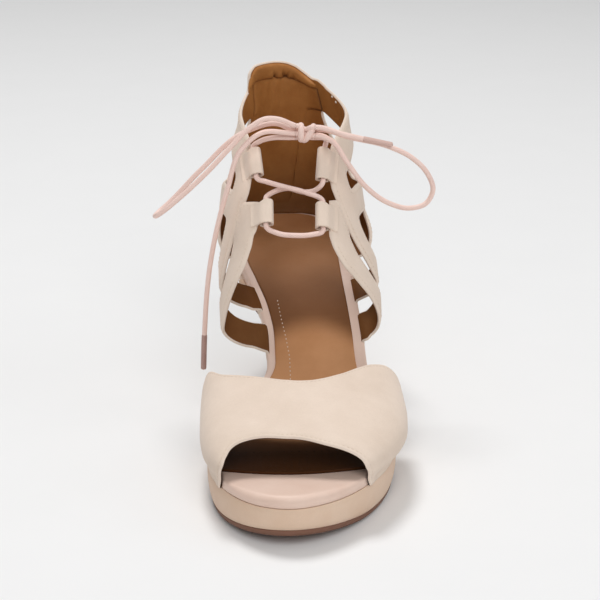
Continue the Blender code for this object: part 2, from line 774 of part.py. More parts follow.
def snap_to_edge(vert, lines, within):
    """Moves a pattern vertex that lies near the cut edge on to it, so that the cut leaves no slivers."""
    on_floor = vert.co.y < 1e-4
    for _ in range(2):
        here = cage_distance(lines, vert.co.x, vert.co.y)
        if abs(here) > within:
            return here
        slope_x = (cage_distance(lines, vert.co.x + 0.2, vert.co.y) - here) / 0.2
        slope_y = (cage_distance(lines, vert.co.x, vert.co.y + 0.05) - here) / 0.05
        slope_y = 0.0 if on_floor else slope_y
        steep = slope_x**2 + slope_y**2
        if steep < 0.1:
            return here
        vert.co.x -= here * slope_x / steep
        vert.co.y = max(0.0, vert.co.y - here * slope_y / steep)
    return 0.0


def strap_lines():
    straps = (FRONT_STRAP, REAR_STRAP, MID_STRAP, COLLAR_STRAP)
    return {
        side: [(strap_line(side, strap), strap in OPEN_ENDED) for strap in straps]
        for side in (MEDIAL, LATERAL)
    }


def add_cage(nude, lines):
    reach = WRAP_END - GRID_FRONT
    rows = len(LOW_ROWS) + HIGH_ROWS
    cell = 2 * reach / GRID_COLUMNS
    bm = bmesh.new()
    bmesh.ops.create_grid(bm, x_segments=GRID_COLUMNS, y_segments=rows, size=1.0)
    for vert in bm.verts:
        vert.co = (vert.co.x * reach, round((vert.co.y + 1) / 2 * rows), 0.0)
    for vert in bm.verts:
        vert.co.z = snap_to_edge(vert, lines, 0.3 * cell)
    everything = bm.verts[:] + bm.edges[:] + bm.faces[:]
    bmesh.ops.bisect_plane(
        bm, geom=everything, dist=1e-5, plane_co=(0, 0, 0), plane_no=(0, 0, 1), clear_outer=True
    )
    for vert in bm.verts:
        if vert.is_boundary:
            snap_to_edge(vert, lines, cell)
    for vert in bm.verts:
        side = MEDIAL if vert.co.x < 0 else LATERAL
        along = WRAP_END - abs(vert.co.x)
        vert.co = world(*cage_point(side, along, cage_height(along, vert.co.y)))
    bmesh.ops.remove_doubles(bm, verts=bm.verts, dist=0.3 * MM)
    part = add_part("cage", finished_mesh("cage", bm), nude)
    wall = part.modifiers.new("wall", "SOLIDIFY")
    wall.thickness = CAGE_WALL * MM
    wall.offset = -1.0
    return part


# The lace: folded loops on the straps, one cord threaded through them, and its bow


def loop_frame(loop):
    """A lace loop's way across it and the way out of it."""
    way = (Vector(loop.high) - Vector(loop.low)).normalized()
    turn = math.radians(LOOP_TURN)
    across = Vector((-loop.side * math.cos(turn), -math.sin(turn), 0.0))
    across = (across - way * across.dot(way)).normalized()
    out = way.cross(across)
    return across, -out if out.y > 0 else out


def rounded(value):
    return math.copysign(abs(value) ** (2 / LOOP_POWER), value)


def add_lace_loop(loop, nude):
    """A flattened open tube, which Solidify gives its wall."""
    name = f"lace_loop_{loop.row}_{'medial' if loop.side == MEDIAL else 'lateral'}"
    low, high = Vector(loop.low), Vector(loop.high)
    across, out = loop_frame(loop)
    bm = bmesh.new()
    bmesh.ops.create_cone(bm, cap_ends=False, segments=16, radius1=1.0, radius2=1.0, depth=1.0)
    for vert in bm.verts:
        centre = low.lerp(high, vert.co.z + 0.5)
        wide = across * rounded(vert.co.x) * LOOP_WIDTH / 2
        deep = out * rounded(vert.co.y) * LOOP_DEPTH / 2
        vert.co = world(*(centre + wide + deep))
    if across.cross(out).dot(high - low) < 0:
        bmesh.ops.reverse_faces(bm, faces=bm.faces)
    part = add_part(name, finished_mesh(name, bm), nude)
    wall = part.modifiers.new("wall", "SOLIDIFY")
    wall.thickness = LOOP_WALL * MM
    wall.offset = -1.0
    return part


def smooth_path(points, step):
    """A smooth route through the points, cut into equal steps with a short one at each end."""
    points = [Vector(point) for point in points]
    spans = [(b - a).length for a, b in zip(points, points[1:])]
    ways = [(b - a).normalized() for a, b in zip(points, points[1:])]
    turns = [ways[0]]
    for k in range(1, len(ways)):
        turns.append((ways[k - 1] * spans[k] + ways[k] * spans[k - 1]) / (spans[k - 1] + spans[k]))
    turns.append(ways[-1])
    fine = [points[0]]
    for k, span in enumerate(spans):
        handles = points[k] + turns[k] * span / 3, points[k + 1] - turns[k + 1] * span / 3
        fine += interpolate_bezier(points[k], *handles, points[k + 1], 13)[1:]
    lengths = [0.0]
    for here, following in zip(fine, fine[1:]):
        lengths.append(lengths[-1] + (following - here).length)
    count = max(2, round(lengths[-1] / step))
    wants = [lengths[-1] * k / count for k in range(count + 1)]
    wants = [0.0, 1.0] + wants[1:-1] + [lengths[-1] - 1.0, lengths[-1]]
    route, i = [], 0
    for want in wants:
        while i < len(fine) - 2 and lengths[i + 1] < want:
            i += 1
        span = lengths[i + 1] - lengths[i]
        route.append(fine[i].lerp(fine[i + 1], (want - lengths[i]) / span))
    return route


def add_cord(name, points, finish, step=CORD_STEP):
    """A round cord along a smooth route."""
    route = smooth_path(points, step)
    curve = bpy.data.curves.new(name, "CURVE")
    curve.dimensions = "3D"
    curve.bevel_depth = LACE_DIAMETER / 2 * MM
    curve.bevel_resolution = 2
    curve.use_fill_caps = True
    spline = curve.splines.new("POLY")
    spline.points.add(len(route) - 1)
    for point, place in zip(spline.points, route):
        point.co = (*world(*place), 1.0)
    spline.use_smooth = True
    return add_part(name, curve, finish)


def add_knot(finish):
    bm = bmesh.new()
    radius = KNOT_DIAMETER / 2 * MM
    turned = Matrix.Rotation(math.pi / 2, 4, "Y")
    bmesh.ops.create_cone(
        bm,
        cap_ends=True,
        segments=14,
        radius1=radius,
        radius2=radius,
        depth=KNOT_LENGTH * MM,
        matrix=Matrix.Translation(world(*KNOT_CENTRE)) @ turned,
    )
    part = add_part("lace_knot", finished_mesh("lace_knot", bm), finish)
    edge = part.modifiers.new("rounding", "BEVEL")
    edge.width = KNOT_ROUNDING * MM
    edge.segments = 2
    edge.limit_method = "ANGLE"
    return part


def add_lace(nude, cord, tip):
    loops = {(loop.row, loop.side): loop for loop in LACE_LOOPS}
    for loop in LACE_LOOPS:
        add_lace_loop(loop, nude)

    def through_loop(row, side, upwards):
        low, high = Vector(loops[row, side].low), Vector(loops[row, side].high)
        middle = [low.lerp(high, share) for share in (-0.12, 0.2, 0.5, 0.8, 1.12)]
        return middle if upwards else middle[::-1]

    threaded = [
        *KNOT_TO_UPPER_MEDIAL,
        *through_loop("upper", MEDIAL, False),
        *UPPER_MEDIAL_TO_LOWER_LATERAL,
        *through_loop("lower", LATERAL, False),
        *LOWER_BAR,
        *through_loop("lower", MEDIAL, True),
        *LOWER_MEDIAL_TO_UPPER_LATERAL,
        *through_loop("upper", LATERAL, True),
        *UPPER_LATERAL_TO_KNOT,
    ]
    add_cord("lace_threaded", threaded, cord, step=4.0)
    add_knot(cord)
    for name, points in FREE_CORDS.items():
        add_cord(name, points, tip if "tip" in name else cord)


# Main

for old in list(bpy.data.objects):
    bpy.data.objects.remove(old)
parts_collection = bpy.data.collections.new("strappy_heel")
bpy.context.scene.collection.children.link(parts_collection)

nude_leather = material("nude_leather", (0.76, 0.61, 0.50), 0.6)
brown_leather = material("brown_leather", (0.28, 0.13, 0.055), 0.5)
brown_rubber = material("brown_rubber", (0.20, 0.095, 0.06), 0.6)
pink_cord = material("pink_cord", (0.78, 0.55, 0.48), 0.55)
dipped_tip = material("dipped_tip", (0.42, 0.25, 0.21), 0.4)

add_sole(nude_leather, brown_leather, brown_rubber)
add_heel(nude_leather, brown_rubber)
add_vamp(nude_leather)
cage_lines = strap_lines()
add_cage(nude_leather, cage_lines)
add_lace(nude_leather, pink_cord, dipped_tip)
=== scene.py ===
import math

import bmesh
import bpy
from mathutils import Matrix, Vector
from mathutils.bvhtree import BVHTree
from mathutils.geometry import interpolate_bezier
from mathutils.kdtree import KDTree
from mathutils.noise import noise


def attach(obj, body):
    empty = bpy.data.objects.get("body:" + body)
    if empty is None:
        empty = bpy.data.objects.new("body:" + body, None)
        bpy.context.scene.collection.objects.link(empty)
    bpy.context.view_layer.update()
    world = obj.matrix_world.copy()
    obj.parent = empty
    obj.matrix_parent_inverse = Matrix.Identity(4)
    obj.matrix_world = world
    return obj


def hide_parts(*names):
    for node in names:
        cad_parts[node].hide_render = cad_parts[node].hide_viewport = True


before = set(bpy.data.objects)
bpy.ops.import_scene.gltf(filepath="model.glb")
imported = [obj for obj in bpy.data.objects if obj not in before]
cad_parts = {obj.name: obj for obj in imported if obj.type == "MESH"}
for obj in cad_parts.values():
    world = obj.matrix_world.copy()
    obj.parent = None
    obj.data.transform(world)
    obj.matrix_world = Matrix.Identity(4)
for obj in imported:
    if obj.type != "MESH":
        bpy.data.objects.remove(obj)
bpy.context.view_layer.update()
print("frame loaded,", len(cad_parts), "nodes")

mm = 0.001
medial, lateral = -1, 1
middleX, middleAlong = 1.5, 115.5  # where the frame's origin lies in the tables


# the tables count millimetres from the toe tip; x is negative on the medial side
def place(x, along, height):
    return Vector(((x - middleX) * mm, (along - middleAlong) * mm, height * mm))


# a smooth curve without overshoot through one column of a table
def through(rows, column=1):
    xs = [row[0] for row in rows]
    ys = [row[column] for row in rows]
    steps = [(ys[i + 1] - ys[i]) / (xs[i + 1] - xs[i]) for i in range(len(xs) - 1)]
    slopes = [steps[0]]
    for before, after in zip(steps, steps[1:]):
        slopes.append(0.0 if before * after <= 0 else 2 * before * after / (before + after))
    slopes.append(steps[-1])

    def at(x):
        x = min(max(x, xs[0]), xs[-1])
        i = next(k for k in range(len(steps)) if x <= xs[k + 1])
        width = xs[i + 1] - xs[i]
        t = (x - xs[i]) / width
        rise = 3 * t * t - 2 * t**3
        bend = width * t * (1 - t) * ((1 - t) * slopes[i] - t * slopes[i + 1])
        return ys[i] * (1 - rise) + ys[i + 1] * rise + bend

    return at


def smoothStep(low, high, x):
    t = min(1.0, max(0.0, (x - low) / (high - low)))
    return t * t * (3 - 2 * t)


def bump(x, middle, width):
    return math.exp(-(((x - middle) / width) ** 2))


# sRGB hex to the linear colour that a socket takes
def linear(hexColour):
    parts = [int(hexColour[k : k + 2], 16) / 255 for k in (1, 3, 5)]
    parts = [c / 12.92 if c <= 0.04045 else ((c + 0.055) / 1.055) ** 2.4 for c in parts]
    return (*parts, 1.0)


def addNode(tree, kind, inputs=None, **settings):
    node = tree.nodes.new(kind)
    for key, value in settings.items():
        setattr(node, key, value)
    for key, value in (inputs or {}).items():
        if isinstance(value, bpy.types.NodeSocket):
            tree.links.new(value, node.inputs[key])
        else:
            node.inputs[key].default_value = value
    return node


def newMaterial(name, fixed):
    made = bpy.data.materials.new(name)
    made.use_nodes = True
    shader = made.node_tree.nodes["Principled BSDF"]
    for key, value in fixed.items():
        shader.inputs[key].default_value = value
    return made, made.node_tree, shader


# leathers: a slow mottle from the hide, a fine nap or pore over it, and the look's edge colour mixed in
# by the edge attribute: rubbed edges on the nubuck, painted shade on the linings and the sock.
# Scales are in millimetres
def leather(name, look):
    made, tree, shader = newMaterial(name, look["shader"])
    where = addNode(tree, "ShaderNodeTexCoord").outputs["Object"]
    mottle = addNode(
        tree,
        "ShaderNodeTexNoise",
        {"Vector": where, "Scale": 1 / (look["mottle"] * mm), "Detail": 4.0, "Roughness": 0.62},
    ).outputs["Fac"]
    nap = addNode(
        tree,
        "ShaderNodeTexNoise",
        {"Vector": where, "Scale": 1 / (look["nap"] * mm), "Detail": 3.0, "Roughness": 0.7},
    ).outputs["Fac"]
    pores = addNode(
        tree,
        "ShaderNodeTexVoronoi",
        {"Vector": where, "Scale": 1 / (look["pore"] * mm)},
        feature="SMOOTH_F1",
    ).outputs["Distance"]
    spread = addNode(
        tree, "ShaderNodeMapRange", {"Value": mottle, "From Min": 0.34, "From Max": 0.66}
    ).outputs["Result"]
    tone = addNode(
        tree,
        "ShaderNodeMix",
        {0: spread, 6: linear(look["dark"]), 7: linear(look["light"])},
        data_type="RGBA",
    ).outputs[2]
    fleck = addNode(
        tree,
        "ShaderNodeMapRange",
        {
            "Value": nap,
            "From Min": 0.25,
            "From Max": 0.75,
            "To Min": 1 - look["fleck"],
            "To Max": 1 + look["fleck"],
        },
    ).outputs["Result"]
    flecked = addNode(
        tree,
        "ShaderNodeMix",
        {0: 1.0, 6: tone, 7: fleck},
        data_type="RGBA",
        blend_type="MULTIPLY",
    ).outputs[2]
    # the edge attribute: lighter rubbed edges, and painted shade where the linings and the sock are
    # darkened
    rubAndShade = addNode(tree, "ShaderNodeAttribute", attribute_name="edge").outputs["Fac"]
    colour = addNode(
        tree, "ShaderNodeMix", {0: rubAndShade, 6: flecked, 7: linear(look["edge"])}, data_type="RGBA"
    ).outputs[2]
    tree.links.new(colour, shader.inputs["Base Color"])
    low, high = look["roughness"]
    dull = addNode(
        tree,
        "ShaderNodeMapRange",
        {"Value": nap, "From Min": 0.3, "From Max": 0.7, "To Min": low, "To Max": high},
    ).outputs["Result"]
    tree.links.new(dull, shader.inputs["Roughness"])
    height = addNode(
        tree, "ShaderNodeMath", {0: pores, 1: look["poreShare"], 2: nap}, operation="MULTIPLY_ADD"
    ).outputs[0]
    relief = addNode(
        tree,
        "ShaderNodeBump",
        {"Height": height, "Strength": 1.0, "Distance": look["relief"] * mm},
    ).outputs["Normal"]
    tree.links.new(relief, shader.inputs["Normal"])
    return made


# nubuck: cowhide buffed on the grain side, so it is matt with a short nap that lights up at the rim
buffed = {"nap": 0.7, "pore": 1.2, "poreShare": 0.3}  # a nap of 0.2 mm, drawn coarser to show
nubuck = leather(
    "blushNubuck",
    {
        **buffed,
        "dark": "#E0CDBC",
        "light": "#E8D6C6",
        "edge": "#EBDCCE",
        "mottle": 26.0,
        "fleck": 0.035,
        "relief": 0.06,
        "roughness": (0.78, 0.92),
        "shader": {"Sheen Weight": 0.12, "Sheen Roughness": 0.5, "Specular IOR Level": 0.25},
    },
)
# the wrap of the rand is the same nubuck pulled tight, which warms it and gives it a faint shine
wrapNubuck = leather(
    "stretchedBeigeNubuck",
    {
        **buffed,
        "dark": "#DBBCA2",
        "light": "#E1C6AF",
        "edge": "#E6D3BE",
        "mottle": 30.0,
        "fleck": 0.03,
        "relief": 0.04,
        "roughness": (0.55, 0.7),
        "shader": {"Sheen Weight": 0.06, "Sheen Roughness": 0.5, "Specular IOR Level": 0.35},
    },
)
# coated sheepskin over the footbed: sprayed pink and ironed smooth, with a soft satin shine
smooth = {"nap": 0.6, "pore": 0.9, "poreShare": 0.8}
coatedSheepskin = leather(
    "pinkCoatedSheepskin",
    {
        **smooth,
        "dark": "#E2C4B3",
        "light": "#E8CDBD",
        "edge": "#EDD8CB",
        "mottle": 24.0,
        "fleck": 0.015,
        "relief": 0.02,
        "roughness": (0.46, 0.58),
        "shader": {"Coat Weight": 0.1, "Coat Roughness": 0.4, "Specular IOR Level": 0.45},
    },
)
# vegetable tanned goatskin lining: brown through, with open pores and a low shine. Its dark edge colour
# is painted shade: towards the footbed, in and under the collar roll, and along the heel pocket's edges
openGrain = {"nap": 0.6, "pore": 0.9, "poreShare": 0.6, "fleck": 0.05, "relief": 0.06}
goatLining = leather(
    "brownGoatskinLining",
    {
        **openGrain,
        "dark": "#9E6632",
        "light": "#B07740",
        "edge": "#41200C",
        "mottle": 17.0,
        "roughness": (0.55, 0.7),
        "shader": {"Specular IOR Level": 0.2},
    },
)
# the vamp is lined with the same hide, coloured darker: painted shade for the inside of the toe box
shadedToeLining = leather(
    "shadedGoatskinLining",
    {
        **openGrain,
        "dark": "#38200F",
        "light": "#442713",
        "edge": "#2C170A",
        "mottle": 15.0,
        "roughness": (0.6, 0.75),
        "shader": {"Specular IOR Level": 0.3},
    },
)
# the sock is glazed goatskin: the same hide polished, so it is lighter and takes a broad highlight.
# Its darker edge colour is painted shade: a painted shadow over the arch and darkening towards the toe
sockLook = {
    **smooth,
    "dark": "#BA8459",
    "light": "#C69167",
    "edge": "#5E371A",
    "mottle": 34.0,
    "fleck": 0.03,
    "relief": 0.04,
    "roughness": (0.5, 0.62),
    "shader": {"Specular IOR Level": 0.12},
}
sockLeather = leather("glazedTanGoatskin", sockLook)
# the same skin under the vamp, given a darker edge colour: painted shade that darkens it towards the toe,
# as brown as the lining round it
shadedSockLeather = leather("shadedTanGoatskin", {**sockLook, "edge": "#472812"})


# moulded rubber for the outsole and the heel's foot: brown through, dull, with a fine mould grit
def mouldedRubber(name, look):
    made, tree, shader = newMaterial(name, {"Specular IOR Level": 0.4})
    where = addNode(tree, "ShaderNodeTexCoord").outputs["Object"]
    grit = addNode(
        tree,
        "ShaderNodeTexNoise",
        {"Vector": where, "Scale": 1 / (look["grit"] * mm), "Detail": 2.0},
    ).outputs["Fac"]
    dust = addNode(
        tree, "ShaderNodeTexNoise", {"Vector": where, "Scale": 1 / (look["dust"] * mm)}
    ).outputs["Fac"]
    tone = addNode(
        tree,
        "ShaderNodeMix",
        {0: dust, 6: linear(look["dark"]), 7: linear(look["light"])},
        data_type="RGBA",
    ).outputs[2]
    tree.links.new(tone, shader.inputs["Base Color"])
    low, high = look["roughness"]
    dull = addNode(
        tree, "ShaderNodeMapRange", {"Value": grit, "To Min": low, "To Max": high}
    ).outputs["Result"]
    tree.links.new(dull, shader.inputs["Roughness"])
    relief = addNode(
        tree, "ShaderNodeBump", {"Height": grit, "Distance": look["relief"] * mm}
    ).outputs["Normal"]
    tree.links.new(relief, shader.inputs["Normal"])
    return made


soleRubber = mouldedRubber(
    "brownMouldedRubber",
    {
        "dark": "#74503F",
        "light": "#865F4D",
        "grit": 0.45,
        "dust": 12.0,
        "relief": 0.05,
        "roughness": (0.5, 0.78),
    },
)


# waxed cotton cord: a round braid, so two sets of slanting ridges cross on it; the wax gives a satin
# shine. UV is in metres, round the cord and along it. Real strands are 0.45 mm, drawn at 0.9 to show
def braidedCord(name, look):
    made, tree, shader = newMaterial(name, look["shader"])
    where = addNode(tree, "ShaderNodeTexCoord")
    ridges = []
    for slant in (look["slant"], -look["slant"]):
        turned = addNode(
            tree,
            "ShaderNodeMapping",
            {"Vector": where.outputs["UV"], "Rotation": (0.0, 0.0, math.radians(slant))},
        ).outputs["Vector"]
        # a wave's bands repeat every 2*pi/20 of a unit at scale 1
        ridges.append(
            addNode(
                tree,
                "ShaderNodeTexWave",
                {"Vector": turned, "Scale": 0.314 / (look["strand"] * mm)},
                bands_direction="X",
            ).outputs["Fac"]
        )
    braid = addNode(
        tree, "ShaderNodeMath", {0: ridges[0], 1: ridges[1]}, operation="MAXIMUM"
    ).outputs[0]
    wax = addNode(
        tree, "ShaderNodeTexNoise", {"Vector": where.outputs["Object"], "Scale": 1 / (look["wax"] * mm)}
    ).outputs["Fac"]
    tone = addNode(
        tree,
        "ShaderNodeMix",
        {0: wax, 6: linear(look["dark"]), 7: linear(look["light"])},
        data_type="RGBA",
    ).outputs[2]
    lit = addNode(
        tree, "ShaderNodeMapRange", {"Value": braid, "To Min": look["shade"], "To Max": 1.03}
    ).outputs["Result"]
    colour = addNode(
        tree, "ShaderNodeMix", {0: 1.0, 6: tone, 7: lit}, data_type="RGBA", blend_type="MULTIPLY"
    ).outputs[2]
    tree.links.new(colour, shader.inputs["Base Color"])
    low, high = look["roughness"]
    dull = addNode(
        tree, "ShaderNodeMapRange", {"Value": wax, "To Min": low, "To Max": high}
    ).outputs["Result"]
    tree.links.new(dull, shader.inputs["Roughness"])
    relief = addNode(
        tree, "ShaderNodeBump", {"Height": braid, "Distance": look["relief"] * mm}
    ).outputs["Normal"]
    tree.links.new(relief, shader.inputs["Normal"])
    return made


braid = {"strand": 0.9, "slant": 35.0, "wax": 6.0, "roughness": (0.42, 0.62)}
waxedCord = braidedCord(
    "pinkWaxedCotton",
    {
        **braid,
        "dark": "#F0CDC1",
        "light": "#F6DCD2",
        "shade": 0.92,
        "relief": 0.07,
        "shader": {"Specular IOR Level": 0.45, "Sheen Weight": 0.1},
    },
)
# the tips are the same cord dipped in lacquer: the braid is nearly filled, darker and shinier
dipped = {**braid, "shade": 0.93, "relief": 0.03}
dippedTip = braidedCord(
    "mauveLacquerDippedCord",
    {
        **dipped,
        "dark": "#A27D73",
        "light": "#B7958B",
        "shader": {"Specular IOR Level": 0.5, "Coat Weight": 0.3, "Coat Roughness": 0.25},
    },
)
# the other end was dipped more thinly, and stayed nearly as pink as the cord
thinDippedTip = braidedCord(
    "pinkLacquerDippedCord",
    {
        **dipped,
        "dark": "#CBA79C",
        "light": "#D8B8AD",
        "shader": {"Specular IOR Level": 0.5, "Coat Weight": 0.25, "Coat Roughness": 0.3},
    },
)


# bonded polyester thread: two plies, so each stitch has a fine twist and a slight shine
thread = {"twist": 0.3, "roughness": (0.45, 0.65), "shader": {"Specular IOR Level": 0.45}}


def sewingThread(name, dark, light):
    made, tree, shader = newMaterial(name, thread["shader"])
    where = addNode(tree, "ShaderNodeTexCoord").outputs["Object"]
    twist = addNode(
        tree, "ShaderNodeTexNoise", {"Vector": where, "Scale": 1 / (thread["twist"] * mm), "Detail": 1.0}
    ).outputs["Fac"]
    tone = addNode(
        tree, "ShaderNodeMix", {0: twist, 6: linear(dark), 7: linear(light)}, data_type="RGBA"
    ).outputs[2]
    tree.links.new(tone, shader.inputs["Base Color"])
    low, high = thread["roughness"]
    dull = addNode(
        tree, "ShaderNodeMapRange", {"Value": twist, "To Min": low, "To Max": high}
    ).outputs["Result"]
    tree.links.new(dull, shader.inputs["Roughness"])
    return made


nudeThread = sewingThread("nudePolyesterThread", "#D3BEAB", "#E6D5C4")
creamThread = sewingThread("creamPolyesterThread", "#E2D6C6", "#F3EADF")
foldThread = sewingThread("taupePolyesterThread", "#A38F7F", "#B9A696")
print("materials made")


# camera: the photograph's place and tilt, turned to look at the one shoe
camera = {
    "at": (-0.0364, -0.8351, 0.3781),
    "turn": 1.65,  # degrees
    "down": 18.0,
    "right": 0.0679,  # how far the aim lies off the photograph's middle, per metre ahead
    "below": 0.0377,
    "lens": 112.9,
    "sensor": 36.0,
}


def addCamera():
    data = bpy.data.cameras.new("shoeCamera")
    data.sensor_width = camera["sensor"]
    data.lens = camera["lens"]
    data.clip_start = 0.05
    made = bpy.data.objects.new("shoeCamera", data)
    bpy.context.scene.collection.objects.link(made)
    turn = Matrix.Rotation(math.radians(camera["turn"]), 3, "Z")
    down = math.radians(camera["down"])
    ahead = turn @ Vector((0.0, math.cos(down), -math.sin(down)))
    up = turn @ Vector((0.0, math.sin(down), math.cos(down)))
    aim = ahead + turn @ Vector((camera["right"], 0.0, 0.0)) - up * camera["below"]
    made.rotation_euler = aim.to_track_quat("-Z", "Y").to_euler()
    made.location = camera["at"]
    bpy.context.scene.camera = made


addCamera()
print("camera placed")

# the sole's outline and side profile
sole = {
    "toe": {medial: (60.0, -43.3, 2.05), lateral: (75.0, 44.0, 1.72)},
    "toeTipX": -7.0,
    "end": 228.5,
    "heelFrom": 190.0,
    "heelPower": 2.2,
    "breast": 168.0,
    "outsole": 3.0,
    "outsoleInset": 1.6,
    "footbedInset": 2.3,
    "upperGap": 0.5,  # the upper goes down this far outside the footbed
    "lasting": 0.2,  # and is turned in this far above its underside
    "lip": (1.9, 33.0, 9.0),  # how far the footbed stands out at the toe, from where and over what length
    "waist": (
        (60, -43.3, 42.8), (75, -41.6, 44.0), (90, -34.5, 42.8), (105, -22.8, 38.8),
        (118, -16.6, 36.0), (130, -16.8, 35.2), (145, -19.6, 33.6), (160, -24.6, 32.0),
        (175, -29.0, 31.0), (190, -30.5, 30.5),
    ),
    "profile": (
        (0, 25.0, 5.8, 6.2),
        (14, 23.4, 5.2, 3.2),
        (30, 22.2, 4.8, 0.7),
        (45, 21.3, 4.6, 0.0),
        (60, 20.9, 4.5, 0.0),
        (80, 21.4, 4.5, 0.0),
        (93, 24.6, 4.5, 0.0),
        (103, 29.4, 4.6, 3.4),
        (115, 37.0, 4.8, 14.5),
        (130, 48.0, 5.0, 30.0),
        (148, 60.0, 5.0, 47.5),
        (168, 69.8, 5.0, 58.4),
        (188, 75.6, 5.0, 65.0),
        (208, 79.0, 5.0, 68.0),
        (231, 81.5, 5.0, 70.0),
    ),
}
footbedTop = through(sole["profile"], 1)
footbedThickness = through(sole["profile"], 2)
tread = through(sole["profile"], 3)
waistX = {medial: through(sole["waist"], 1), lateral: through(sole["waist"], 2)}


def footbedBottom(along):
    return footbedTop(along) - footbedThickness(along)


def superellipse(share, power):
    return max(0.0, 1.0 - abs(share) ** power) ** (1.0 / power)


# the sole's edge at a station, drawn in by inset
def soleX(along, side, inset):
    ballAlong, ballX, power = sole["toe"][side]
    if along < ballAlong:
        wide = ballX - side * inset - sole["toeTipX"]
        return sole["toeTipX"] + wide * superellipse((ballAlong - along) / (ballAlong - inset), power)
    if along > sole["heelFrom"]:
        reach = sole["end"] - inset - sole["heelFrom"]
        wide = waistX[side](sole["heelFrom"]) - side * inset
        return wide * superellipse(min(1.0, (along - sole["heelFrom"]) / reach), sole["heelPower"])
    return waistX[side](along) - side * inset


# the cage's form: an egg section at each height, and the straps drawn on it
cage = {
    "wall": 2.0,
    "ankle": 185.0,
    "wrapEnd": 245.0,
    "tuck": 13.0,
    "ridgeX": -3.5,
    "fillet": 3.5,
    "front": 117.0,
    "high": 167.0,
    "lowRows": (-0.6, 0.8, 3.0, 6.5, 11.0, 16.0),
    "highRows": 22,
    "cell": 1.49,
    "finer": 3,
    "samples": 24,  # between two rows of a strap
    "room": (4.6, 2.6),  # kept free round a lace loop: aside, and past its ends
    "slot": 0.5,
    "rub": 0.3,
    "paintedShade": (0.65, 126.0, 78.0),  # painted shade: how dark the lining is painted towards the footbed, from and to a height
    "skive": 0.5,  # the leather is pared thinner before its edge is turned
    "setBack": (4.5, 90.0, 62.0),  # the lateral straps are lasted further back, below these heights
    "frontFrom": 90.0,  # the front straps lie beyond this on the pattern
    "drawIn": (2.1, 14.0, -1.0),  # the straps are pulled in where they go under the footbed
    # height, instep, back, medial, lateral, nose, medial pinch, lateral pinch
    "form": (
        (36, 46, 224.0, 39.0, 46.5, 2.3, 0.00, 0.00),
        (60, 78, 226.5, 38.3, 45.6, 2.2, 0.00, 0.00),
        (80, 103, 228.6, 36.5, 40.5, 2.05, 0.00, 0.00),
        (95, 121, 229.0, 34.5, 35.5, 1.95, 0.02, 0.02),
        (110, 136, 227.8, 32.5, 33.0, 1.85, 0.06, 0.07),
        (125, 150, 225.0, 29.4, 30.0, 1.8, 0.10, 0.13),
        (140, 160, 222.0, 24.6, 27.0, 1.8, 0.10, 0.20),
        (155, 168, 220.4, 23.6, 25.3, 1.8, 0.03, 0.22),
        (170, 174, 220.0, 22.0, 22.5, 1.8, 0.00, 0.22),
    ),
    # along, height, half width; past the ankle "along" wraps round the heel
    "frontStrap": (
        (129.4, 38.0, 7.0), (129.8, 54.0, 7.0), (130.2, 66.0, 7.0), (130.8, 76.0, 7.2),
        (132.0, 85.0, 7.4), (135.0, 92.0, 7.2), (137.6, 96.4, 6.6), (138.0, 97.0, 7.3),
        (141.8, 104.2, 7.0), (145.6, 110.6, 6.4),
    ),
    "rearStrap": (
        (149.0, 46.0, 7.0), (149.2, 60.0, 7.0), (149.8, 72.0, 7.0), (151.0, 84.0, 7.0),
        (152.6, 95.0, 7.0), (154.6, 105.5, 7.0), (157.0, 113.5, 6.7), (160.0, 119.5, 5.8),
        (163.4, 125.2, 5.4), (166.6, 130.2, 5.2),
    ),
    "midStrap": (
        (157.0, 104.8, 6.4), (170.0, 104.8, 6.7), (182.0, 103.0, 7.0), (195.0, 99.5, 8.0),
        (207.0, 95.0, 10.0),
    ),
    "collarStrap": (
        (168.0, 127.5, 7.4), (174.0, 131.6, 7.6), (183.0, 136.0, 7.8), (194.0, 140.4, 7.4),
        (204.0, 144.6, 7.0), (215.0, 148.4, 6.8),
    ),
    "counterFront": (
        (60, 170.0, 170.0), (75, 175.0, 175.0), (90, 187.0, 187.0), (105, 196.0, 197.0),
        (120, 203.0, 205.5), (130, 207.0, 211.5), (140, 207.0, 213.5), (150, 206.0, 210.0),
        (170, 204.0, 204.0),
    ),
    "topline": (
        (-46, 152.5), (-43, 155.0), (-41, 158.4), (-38, 161.6), (-32, 163.4), (-14, 163.2),
        (-3, 162.4), (5, 160.6), (13, 157.6), (26, 154.2), (36, 152.4), (46, 150.0),
    ),
}
ankleNames = ("instep", "back", "medial", "lateral", "nose", "medialPinch", "lateralPinch")
ankle = {name: through(cage["form"], k + 1) for k, name in enumerate(ankleNames)}
counterFront = {medial: through(cage["counterFront"], 1), lateral: through(cage["counterFront"], 2)}
topline = through(cage["topline"])


# the footbed's edge at a pattern station
def footEdge(side, along):
    inset = sole["footbedInset"] - sole["upperGap"]
    if along > cage["ankle"]:
        turn = (along - cage["ankle"]) / (cage["wrapEnd"] - cage["ankle"]) * math.pi / 2
        along = cage["ankle"] + (sole["end"] - inset - cage["ankle"]) * math.sin(turn)
    return soleX(along, side, inset), along


def ankleEdge(side, along, height):
    face = "medial" if side == medial else "lateral"
    half = ankle[face](height)
    if along > cage["ankle"]:
        turn = (along - cage["ankle"]) / (cage["wrapEnd"] - cage["ankle"]) * math.pi / 2
        hollow = 1 - ankle[face + "Pinch"](height) * math.sin(2 * turn) ** 2
        back = cage["ankle"] + (ankle["back"](height) - cage["ankle"]) * math.sin(turn)
        return side * half * math.cos(turn) * hollow, back
    share = min(1.0, (cage["ankle"] - along) / (cage["ankle"] - ankle["instep"](height)))
    return side * half * superellipse(share, ankle["nose"](height)) + cage["ridgeX"] * share**2, along


